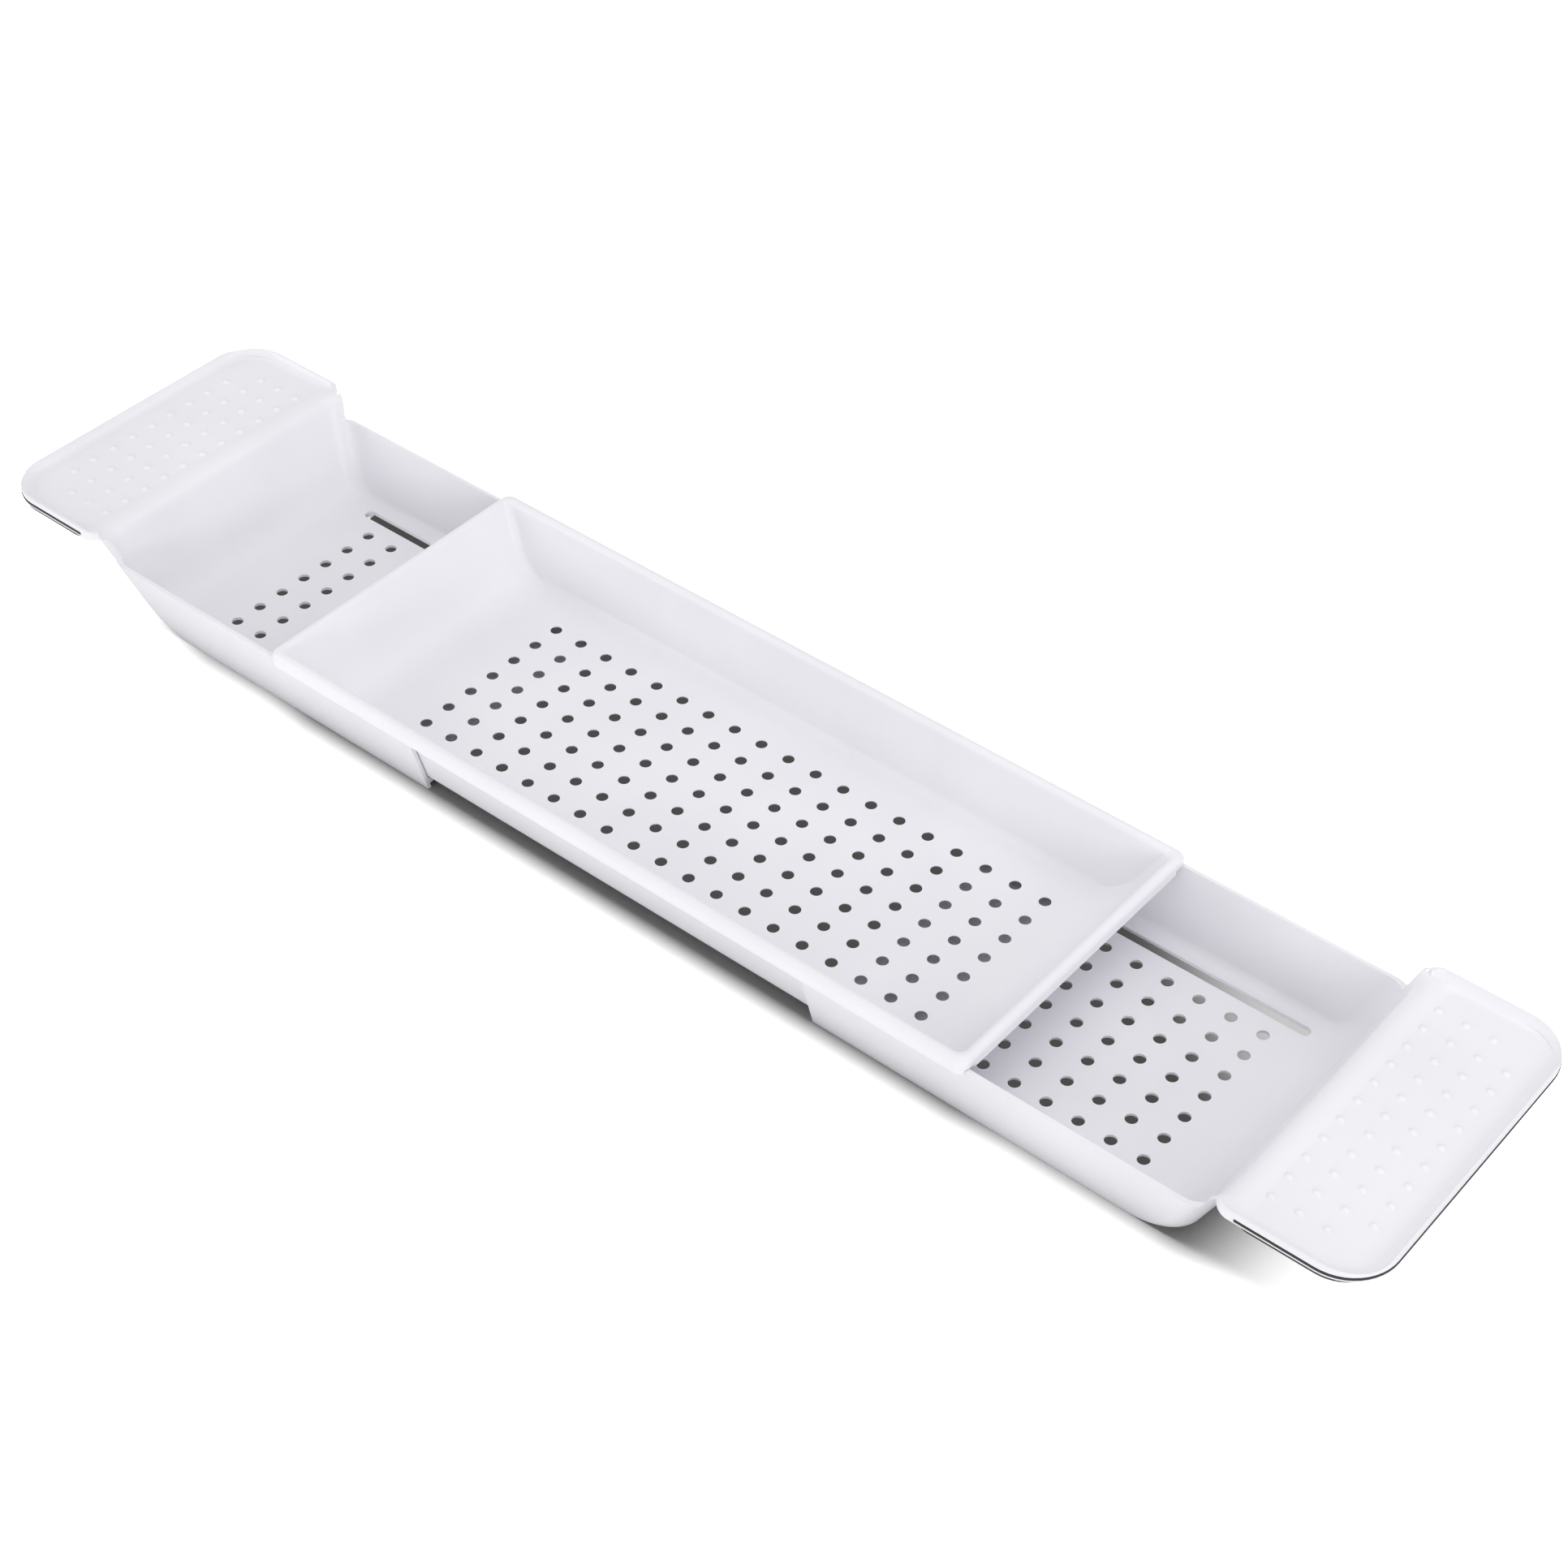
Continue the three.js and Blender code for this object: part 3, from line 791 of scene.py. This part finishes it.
def recess_cutter():
    rings = [(end_start - OVERRUN, recess_end, end_inner_half(z), z)
             for z in (-OVERRUN, FOOT_HEIGHT)]
    return tower("recess", rings, 0, 0)


def groove_cutter():
    low, high = strip_base - FIT_GAP, strip_top + FIT_GAP
    reach, half = wing_reach + OVERRUN, wing_half + OVERRUN
    band = slab("groove", strip_start - FIT_GAP, reach, half, low, high, 0, 0)
    inner = slab("inner", *inner_slab, low - OVERRUN, high + OVERRUN, SHOULDER - STRIP_DEPTH,
                 WING_CORNER - STRIP_DEPTH)
    return combine(band, inner, "DIFFERENCE")


def slot_cutter(y):
    from_x = stud_x - STUD_RADIUS - SLOT_END_GAP
    to_x = stud_x + TRAVEL + STUD_RADIUS + SLOT_END_GAP
    half = STUD_RADIUS + SLOT_SIDE_GAP
    rings = [(from_x - edge, to_x + edge, half + edge, z) for edge, z in (
        (2 * HOLE_EDGE, end_floor + HOLE_EDGE), (HOLE_EDGE, end_floor), (0, end_floor - HOLE_EDGE),
        (0, -OVERRUN))]
    piece = tower("slot", rings, half + HOLE_EDGE, half + HOLE_EDGE)
    only(piece)
    bpy.ops.transform.translate(value=(0, y, 0))
    bpy.ops.object.transform_apply(location=True, rotation=False, scale=False)
    return piece


combine(end_tray, recess_cutter(), "DIFFERENCE")
combine(end_tray, groove_cutter(), "DIFFERENCE")
for y in (-stud_y, stud_y):
    combine(end_tray, slot_cutter(y), "DIFFERENCE")
combine(end_tray, hole_grid(end_start + END_MARGIN, END_COLUMNS, end_floor, 0), "DIFFERENCE")
measure(end_tray, "end tray with its holes")

# %% [markdown]
# ## Bumps on the wings
# The pans have rows of low domes that lift what lies on them out of the water. A dome is a turned
# cap, copied to each place and joined on. The outermost column leaves out two, at the corners.

# %% The bumps
BUMP_PITCH = 13.2 * MM
BUMP_INSET = 16.4 * MM
BUMP_COLUMNS = 4
BUMP_ROWS = 11
BUMP_RADIUS = 2.1 * MM
BUMP_HEIGHT = 1 * MM
BUMP_SIDES = 16
DOME_STEPS = (0.9, 0.75, 0.6, 0.45, 0.3, 0.15)


def bump_places():
    places = []
    for column in range(BUMP_COLUMNS):
        rows = BUMP_ROWS - 2 if column == BUMP_COLUMNS - 1 else BUMP_ROWS
        x = wing_start + BUMP_INSET + column * BUMP_PITCH
        places += [(x, (row - (rows - 1) / 2) * BUMP_PITCH) for row in range(rows)]
    return places


dome_radius = (BUMP_RADIUS**2 + BUMP_HEIGHT**2) / (2 * BUMP_HEIGHT)
dome_angle = math.asin(BUMP_RADIUS / dome_radius)
dome = [(BUMP_RADIUS + FIT_GAP, pan_floor - FIT_GAP)]
for step in DOME_STEPS:
    turn = dome_angle * step
    dome.append((dome_radius * math.sin(turn),
                 pan_floor + BUMP_HEIGHT - dome_radius * (1 - math.cos(turn))))
combine(end_tray, copies(turned("bump", dome, BUMP_SIDES), bump_places()), "UNION")
measure(end_tray, "end tray with its bumps")

# %% [markdown]
# ## Soft rims
# No edge on a moulding is sharp. The rim's edges are found by the angle between their faces and
# their height, and get a small bevel. This comes after every cut, because a boolean that meets the
# tiny faces of a bevel can tear the mesh open. The count of open edges shows that none did.

# %% Bevels on the end tray's rim and foot
RIM_EDGE = 0.55 * MM
SHARP = math.radians(38)


def soften(piece, wanted, width, segments=3):
    """Bevels the sharp edges that the test wants."""
    only(piece)
    bpy.ops.object.mode_set(mode="EDIT")

    def sharp(edge):
        return len(edge.link_faces) == 2 and edge.calc_face_angle(0) > SHARP and wanted(edge)

    count = choose(piece, "EDGE", sharp)
    bpy.ops.mesh.bevel(offset=width, segments=segments, affect="EDGES", clamp_overlap=True)
    bpy.ops.object.mode_set(mode="OBJECT")
    return count


def on_rim(edge):
    """The rim, the swoop and the outer edge of the wing, but not the upright edges."""
    a, b = (vertex.co for vertex in edge.verts)
    if min(a.z, b.z) < end_rim - HAIR or edge.calc_length() < HAIR:
        return False
    swoop = swoop_start - RIM_EDGE < min(a.x, b.x) and max(a.x, b.x) < wing_start - 2 * RIM_EDGE
    return swoop or near(a.z, b.z) and (near(a.z, end_rim) or near(a.z, wing_top))


def weld(piece, span):
    """Merges corners nearer than a span and drops the slivers that cuts leave."""
    only(piece)
    edit_all()
    bpy.ops.mesh.remove_doubles(threshold=span)
    bpy.ops.mesh.dissolve_degenerate(threshold=span)
    bpy.ops.object.mode_set(mode="OBJECT")


weld(end_tray, HAIR / 2)
measure(end_tray, "end tray welded")
print("rim edges softened:", soften(end_tray, on_rim, RIM_EDGE))
weld(end_tray, HAIR / 10)
measure(end_tray, "end tray with its soft rim")

# %% [markdown]
# ## The strips, the pads and the studs
# A dark strip lies in the wing's groove and stands a little proud of it, a thin pad under the wing
# grips the bath, and four turned studs hold the trays together.

# %% A strip, a pad and a stud
STRIP_EDGE = 0.4 * MM
PAD_EDGE = 0.5 * MM
PAD_TUCK = 0.8 * MM
PAD_CORNER = 20 * MM
STUD_EDGE = 0.4 * MM
STUD_HEAD_HEIGHT = 1.5 * MM


def make_strip():
    outer = slab("edge_strip", wing_start - STRIP_PROUD, wing_reach + STRIP_PROUD,
                 wing_half + STRIP_PROUD, strip_base, strip_top, SHOULDER,
                 WING_CORNER + STRIP_PROUD, STRIP_EDGE, STRIP_EDGE)
    depth = STRIP_DEPTH - FIT_GAP
    low, high = strip_low.z - OVERRUN, strip_high.z + OVERRUN
    inner = slab("inner", wing_start + depth, wing_reach - depth, wing_half - depth,
                 low, high, SHOULDER - depth, WING_CORNER - depth)
    combine(outer, inner, "DIFFERENCE")
    keep = slab("keep", strip_start, wing_reach + OVERRUN, wing_half + OVERRUN, low, high, 0, 0)
    return combine(outer, keep, "INTERSECT")


def make_pad():
    return slab("grip_pad", pad_low.x, pad_high.x, pad_high.y - PAD_TUCK, pad_low.z, pad_high.z,
                SHOULDER, PAD_CORNER, PAD_EDGE, PAD_EDGE / 3)


def make_stud():
    radius = (stud_high.x - stud_low.x) / 2
    low, top = stud_low.z, stud_low.z + STUD_HEAD_HEIGHT
    return turned("slide_stud", [
        (radius - STUD_EDGE, low), (radius - STUD_EDGE / 3, low + STUD_EDGE / 3),
        (radius, low + STUD_EDGE), (radius, top - STUD_EDGE / 2), (radius - STUD_EDGE / 2, top),
        (STUD_RADIUS, top + HAIR), (STUD_RADIUS, stud_high.z - STUD_EDGE),
        (STUD_RADIUS - STUD_EDGE, stud_high.z)], ROUND_SIDES)


edge_strip = make_strip()
measure(edge_strip, "edge strip")
grip_pad = make_pad()
measure(grip_pad, "grip pad")
stud = make_stud()
measure(stud, "stud")

# %% [markdown]
# ## Shading, copies and places
# The finished pieces are shaded smooth up to an angle, and weighted normals keep the large faces
# flat up to their soft edges. Both ends are the same tray, so each right-hand piece is copied and
# the copy turned half round. Then every piece takes the place of its node and rides on its body.

# %% Shade, copy and place
SMOOTH_ANGLE = math.radians(34)
FLAT_WEIGHT = 100


def shade(piece):
    only(piece)
    bpy.ops.object.shade_smooth_by_angle(angle=SMOOTH_ANGLE)
    bpy.ops.object.modifier_add(type="WEIGHTED_NORMAL")
    modifier = piece.modifiers[-1]
    modifier.keep_sharp = True
    modifier.weight = FLAT_WEIGHT
    bpy.ops.object.modifier_apply(modifier=modifier.name)


def twin(piece, turn=0, move=(0, 0, 0)):
    """A copy with its own mesh, turned about the upright axis and moved."""
    only(piece)
    bpy.ops.object.duplicate()
    copy = bpy.context.object
    bpy.ops.transform.rotate(value=turn, orient_axis="Z", center_override=(0, 0, 0))
    bpy.ops.transform.translate(value=move)
    bpy.ops.object.transform_apply(location=True, rotation=True, scale=True)
    return copy


def settle(piece, name, body):
    piece.name = name + "_moulded"
    piece.data.name = piece.name
    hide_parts(name)
    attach(piece, body)
    return piece


for piece in (centre_tray, end_tray, edge_strip, grip_pad, stud):
    shade(piece)

trays = [settle(centre_tray, "centre_tray", "centre")]
strips = []
pads = []
studs = []
for side, turn in (("right", 0), ("left", math.radians(180))):
    body = side + "_end"
    trays.append(settle(twin(end_tray, turn), side + "_tray", body))
    strips.append(settle(twin(edge_strip, turn), side + "_edge_strip", body))
    pads.append(settle(twin(grip_pad, turn), side + "_grip_pad", body))
    for place in ("front", "rear"):
        name = f"{side}_{place}_slide_stud"
        low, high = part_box(name)
        move = ((low.x + high.x) / 2, (low.y + high.y) / 2, 0)
        studs.append(settle(twin(stud, 0, move), name, "centre"))
for first in (end_tray, edge_strip, grip_pad, stud):
    bpy.data.meshes.remove(first.data)
print("pieces:", len(trays + strips + pads + studs))

# %% [markdown]
# ## Shader maths
# A small class wraps a node's output, so that shader maths reads as plain sums.

# %% Sockets that add and multiply


class Finish:
    """A material whose nodes are made by one method and joined by plain arithmetic."""

    def __init__(self, name):
        self.material = bpy.data.materials.new(name)
        self.material.use_nodes = True
        self.tree = self.material.node_tree
        self.shader = self.tree.nodes["Principled BSDF"]
        self.output = self.tree.nodes["Material Output"]

    def node(self, kind, settings=None, sockets=None, out=0):
        """Makes a node: first its settings, then the values or links of its sockets."""
        node = self.tree.nodes.new(kind)
        for key, value in (settings or {}).items():
            setattr(node, key, value)
        for key, value in (sockets or {}).items():
            self.feed(node.inputs[key], value)
        return Value(self, node.outputs[out])

    def feed(self, socket, value):
        if isinstance(value, Value):
            self.tree.links.new(value.socket, socket)
        else:
            socket.default_value = value

    def set(self, **sockets):
        for key, value in sockets.items():
            self.feed(self.shader.inputs[key.replace("_", " ")], value)


class Value:
    """A node's output that can be added, multiplied and so on."""

    def __init__(self, finish, socket):
        self.finish = finish
        self.socket = socket

    def maths(self, operation, a, b=0.0):
        return self.finish.node("ShaderNodeMath", {"operation": operation}, {0: a, 1: b})

    def __add__(self, other):
        return self.maths("ADD", self, other)

    def __radd__(self, other):
        return self.maths("ADD", other, self)

    def __sub__(self, other):
        return self.maths("SUBTRACT", self, other)

    def __rsub__(self, other):
        return self.maths("SUBTRACT", other, self)

    def __mul__(self, other):
        return self.maths("MULTIPLY", self, other)

    def __rmul__(self, other):
        return self.maths("MULTIPLY", other, self)

    def size(self):
        return self.maths("ABSOLUTE", self)

    def over(self, edge):
        """Rises from 0 to 1 across an edge given as a low and a high value."""
        low, high = edge
        return self.finish.node(
            "ShaderNodeMapRange", {"clamp": True, "interpolation_type": "SMOOTHSTEP"},
            {"Value": self, "From Min": low, "From Max": high})


def noise(finish, per_metre, detail=3.0, roughness=0.5, stretch=(1, 1, 1)):
    where = finish.node("ShaderNodeTexCoord", out=3)
    where = finish.node("ShaderNodeMapping", None, {"Vector": where, "Scale": stretch})
    return finish.node("ShaderNodeTexNoise", None, {
        "Vector": where, "Scale": per_metre, "Detail": detail, "Roughness": roughness})


def mixed(finish, factor, first, second):
    return finish.node("ShaderNodeMix", {"data_type": "RGBA"},
                       {"Factor": factor, 6: (*first, 1), 7: (*second, 1)}, out=2)


def bump(finish, height, distance):
    return finish.node("ShaderNodeBump", None, {
        "Height": height, "Distance": distance, "Strength": 1.0})


# %% [markdown]
# ## The finishes
# The trays are a cool white plastic with a satin skin. Under the soft light the eye sees a very
# fine grain, a slow unevenness from the mould's cooling, and a few duller rubbed places. The
# strips and pads are a dark soft rubber with a matt, slightly pebbled skin.

# %% Satin plastic
WHITE = (0.83, 0.823, 0.862)
WHITE_SHADE = (0.795, 0.789, 0.832)
CLOUDS, GRAINS, RIPPLES, RUBS = 14.0, 1600.0, 55.0, 90.0
SKIN_DEPTH = 0.02 * MM
PLASTIC_IOR = 1.49


def satin_plastic(name, light, dark, roughness):
    finish = Finish(name)
    cloud = noise(finish, CLOUDS, 2.0)
    grain = noise(finish, GRAINS, 2.0)
    ripple = noise(finish, RIPPLES)
    rubbed = noise(finish, RUBS, 6.0, 0.65, (1, 2.2, 1)).over((0.56, 0.74))
    finish.set(Base_Color=mixed(finish, cloud.over((0.3, 0.7)), light, dark))
    finish.set(Roughness=roughness + (grain - 0.5) * 0.08 + rubbed * 0.09 + (cloud - 0.5) * 0.06)
    finish.set(Normal=bump(finish, grain * 0.35 + ripple * 0.65, SKIN_DEPTH))
    finish.set(IOR=PLASTIC_IOR)
    return finish.material


tray_plastic = satin_plastic("cool_white_satin_plastic", WHITE, WHITE_SHADE, 0.34)
stud_plastic = satin_plastic("white_stud_plastic", (0.74, 0.75, 0.77), (0.70, 0.71, 0.735), 0.42)
print("plastics:", tray_plastic.name, stud_plastic.name)

# %% Dark rubber
DUSTS = 60.0
PEBBLE_DEPTH = 0.08 * MM
RUBBER_IOR = 1.5


def soft_rubber(name, light, dark, roughness, pebble_size):
    finish = Finish(name)
    pebble = noise(finish, 1 / pebble_size, 3.0, 0.6)
    dust = noise(finish, DUSTS, 6.0, 0.7).over((0.5, 0.8))
    finish.set(Base_Color=mixed(finish, dust * 0.7 + pebble * 0.3, dark, light))
    finish.set(Roughness=roughness + (pebble - 0.5) * 0.16 + dust * 0.08)
    finish.set(Normal=bump(finish, pebble, PEBBLE_DEPTH))
    finish.set(IOR=RUBBER_IOR)
    return finish.material


edge_rubber = soft_rubber("dark_edge_rubber", (0.035, 0.036, 0.038), (0.018, 0.018, 0.02),
                          0.55, 0.7 * MM)
pad_rubber = soft_rubber("dark_pad_rubber", (0.055, 0.056, 0.059), (0.028, 0.028, 0.031),
                         0.75, 1.1 * MM)
for pieces, material in ((trays, tray_plastic), (studs, stud_plastic),
                         (strips, edge_rubber), (pads, pad_rubber)):
    for piece in pieces:
        piece.data.materials.clear()
        piece.data.materials.append(material)

# %% [markdown]
# ## The floor
# The floor is one white plane. Seen from the camera's side only a narrow shadow shows on it, and
# the holes look dark. Its own lamp makes that shadow. A plain white floor would throw the lamp's
# light up through the holes, so it is grey to every ray but the camera's, and under each tray the
# camera sees only a painted shade, a flat dark tone that follows the sliding tray, with painted
# light that makes it lighter towards the right and back. Beyond the trays the floor has a painted
# glow that washes out the shadows there and keeps it white, and from below it is clear, so that
# the underside shows.

# %% The floor
FLOOR_SIZE = 6
SPECKS = 900.0
SEEN_GREYS = (0.29, 0.31)
BOUNCE_GREYS = (0.115, 0.12)
# Painted light: the floor glows past the trays' ends and far out, washing out the shadows there.
PAINTED_END_LIGHT = 0.95
PAINTED_LIGHT_FAR_FADE = (0.35, 0.6)
PAINTED_LIGHT_RIGHT_FADE = (0.308, 0.37)
PAINTED_LIGHT_LEFT_FADE = (0.27, 0.33)
# Painted shade: a flat dark tone on the floor under each tray, seen by the camera alone.
PAINTED_SHADE_TONE = 0.07
# Painted light: the painted shade under the trays grows lighter towards the right and back.
PAINTED_BACK_LIGHT = 0.5
PAINTED_BACK_LIGHT_FADE = (0.27, 0.36)
PAINTED_BACK_LIGHT_SLANT = 1.2
# Where the painted shade lies under each body: its middle and half length along the caddy.
PAINTED_SHADE_SPANS = {"centre": (0, 0.18), "left_end": (-0.2085, 0.0885), "right_end": (0.2085, 0.0885)}
PAINTED_SHADE_MIDDLE = 6 * MM
PAINTED_SHADE_HALF = 61 * MM
PAINTED_SHADE_FADE = (0, MM)


def along_across(finish, body=None):
    """Places along and across the caddy, from the middle or from where a body has gone."""
    settings = {"object": frame["bodies"][body]} if body else None
    where = finish.node("ShaderNodeTexCoord", settings, out=3)
    return [finish.node("ShaderNodeSeparateXYZ", None, {0: where}, out) for out in (0, 1)]


def under(finish, body):
    """Mask of the painted shade: 1 under one tray, wherever its slide has taken it, else 0."""
    middle, half_length = PAINTED_SHADE_SPANS[body]
    along, across = along_across(finish, body)
    lengthways = (half_length - (along - middle).size()).over(PAINTED_SHADE_FADE)
    return lengthways * (PAINTED_SHADE_HALF - (across - PAINTED_SHADE_MIDDLE).size()).over(PAINTED_SHADE_FADE)


def blend(finish, factor, first, second):
    return finish.node("ShaderNodeMixShader", None, {0: factor, 1: first, 2: second})


def matt(finish, speck, greys):
    """A matt grey with fine specks of a second one."""
    return blend(finish, speck, *(
        finish.node("ShaderNodeBsdfDiffuse", None, {"Color": (grey, grey, grey, 1)})
        for grey in greys))


def white_floor():
    floor = add(bpy.ops.mesh.primitive_plane_add, "floor", (0, 0, 0), size=FLOOR_SIZE)
    finish = Finish("white_floor")
    finish.tree.nodes.remove(finish.shader)
    along, across = along_across(finish)
    # Painted light: a glow past both ends and far to the sides, which washes out the shadows there.
    ends = along.over(PAINTED_LIGHT_RIGHT_FADE) + (0 - along).over(PAINTED_LIGHT_LEFT_FADE)
    ends = ends + across.over(PAINTED_LIGHT_FAR_FADE) + (0 - across).over(PAINTED_LIGHT_FAR_FADE)
    # Painted light: the painted shade under the trays grows lighter towards the right and back.
    back = (along + across * PAINTED_BACK_LIGHT_SLANT).over(PAINTED_BACK_LIGHT_FADE)
    # Painted shade: the mask of the flat dark tone under the trays.
    painted_shade_mask = under(finish, "centre") + under(finish, "left_end") + under(finish, "right_end")
    painted_shade_mask = painted_shade_mask.over((0, 1))
    # Emissions: nothing, the painted glow, the painted shade, and the painted shade with painted
    # back light.
    nothing, painted_end_light, painted_shade, painted_shade_and_back_light = (
        finish.node("ShaderNodeEmission", None, {"Strength": strength})
        for strength in (0, PAINTED_END_LIGHT, PAINTED_SHADE_TONE, PAINTED_SHADE_TONE + PAINTED_BACK_LIGHT))
    speck = noise(finish, SPECKS, 2.0)
    seen = finish.node("ShaderNodeAddShader", None, {
        0: matt(finish, speck, SEEN_GREYS), 1: blend(finish, ends, nothing, painted_end_light)})
    # Under the trays the camera sees the painted shade in place of the lit floor.
    seen = blend(finish, painted_shade_mask, seen, blend(finish, back, painted_shade, painted_shade_and_back_light))
    camera_ray = finish.node("ShaderNodeLightPath")
    both = blend(finish, camera_ray, matt(finish, speck, BOUNCE_GREYS), seen)
    from_below = camera_ray * finish.node("ShaderNodeNewGeometry", out=6)
    clear = finish.node("ShaderNodeBsdfTransparent")
    finish.feed(finish.output.inputs["Surface"], blend(finish, from_below, both, clear))
    floor.data.materials.append(finish.material)
    return floor


floor = white_floor()
print("floor:", floor.name, "with", len(floor.data.materials[0].node_tree.nodes), "nodes")

# %% [markdown]
# ## The light
# The world lights everything evenly and is white to the camera. One lamp right above the middle
# lights the floor alone, which keeps the shadow narrow. The other four light all but the floor: a
# weak one above, a long low one in front, and one at each end for the walls and the wings. One
# set of lamps for both would be simpler, but either the shadow or the walls would be too strong.

# %% The light
ROOM_LIGHT = 0.8
world = bpy.data.worlds.new("white_room")
bpy.context.scene.world = world
world.use_nodes = True
background = world.node_tree.nodes["Background"]
background.inputs["Color"].default_value = (1, 1, 1, 1)
light_path = world.node_tree.nodes.new("ShaderNodeLightPath")
strength = world.node_tree.nodes.new("ShaderNodeMath")
strength.operation = "MULTIPLY_ADD"
strength.inputs[1].default_value = 1 - ROOM_LIGHT
strength.inputs[2].default_value = ROOM_LIGHT
world.node_tree.links.new(light_path.outputs["Is Camera Ray"], strength.inputs[0])
world.node_tree.links.new(strength.outputs["Value"], background.inputs["Strength"])


def lamp(name, place, size, watts, floor_alone=False):
    """An area lamp aimed at the caddy, for the floor alone or for all but the floor."""
    bpy.ops.object.select_all(action="DESELECT")
    bpy.ops.object.light_add(type="AREA", location=place)
    light = bpy.context.object
    light.name = name
    light.data.shape = "RECTANGLE"
    light.data.size, light.data.size_y = size
    light.data.energy = watts
    light.rotation_euler = (-Vector(place)).to_track_quat("-Z", "Y").to_euler()
    reach = bpy.data.collections.new(name + "_reach")
    reach.objects.link(floor)
    light.light_linking.receiver_collection = reach
    link = reach.collection_objects[0].light_linking
    link.link_state = "INCLUDE" if floor_alone else "EXCLUDE"


lamp("floor_light", (0, 0, 1.8), (1.4, 1.4), 350, floor_alone=True)
lamp("overhead", (0.3, 0.25, 1.2), (1.0, 0.8), 2.6)
lamp("front_low", (1.6, -3.6, 0.7), (2.4, 0.6), 20)
lamp("left_fill", (-1.3, -1.0, 0.5), (0.8, 0.5), 3.6)
lamp("right_fill", (2.2, -0.4, 0.95), (1.0, 0.8), 8)

# %% [markdown]
# The camera is the one that the photograph was taken with, found from the even rows of holes.

# %% The camera
AZIMUTH = math.radians(39.0909)
ELEVATION = math.radians(42.3006)
ROLL = math.radians(-0.6216)
SHIFT_RIGHT = -34.2843 * MM
SHIFT_DOWN = 17.4841 * MM
DISTANCE = 1411.4422 * MM
FOCAL_PIXELS = 3625.78
PHOTO_PIXELS = 1932
SENSOR = 36
NEAREST, FURTHEST = 0.05, 20


def photo_camera():
    flat = math.cos(ELEVATION)
    back = Vector((math.sin(AZIMUTH) * flat, -math.cos(AZIMUTH) * flat, math.sin(ELEVATION)))
    right = (-back).cross(Vector((0, 0, 1))).normalized()
    down = (-back).cross(right)
    turned_right = math.cos(ROLL) * right + math.sin(ROLL) * down
    turned_down = -math.sin(ROLL) * right + math.cos(ROLL) * down
    place = back * DISTANCE - turned_right * SHIFT_RIGHT - turned_down * SHIFT_DOWN
    bpy.ops.object.camera_add()
    camera = bpy.context.object
    camera.matrix_world = Matrix.Translation(place) @ Matrix(
        (turned_right, -turned_down, back)).transposed().to_4x4()
    camera.data.sensor_width = SENSOR
    camera.data.lens = FOCAL_PIXELS * SENSOR / PHOTO_PIXELS
    camera.data.clip_start, camera.data.clip_end = NEAREST, FURTHEST
    return camera


bpy.context.scene.camera = photo_camera()
bpy.context.scene.view_settings.view_transform = "Standard"
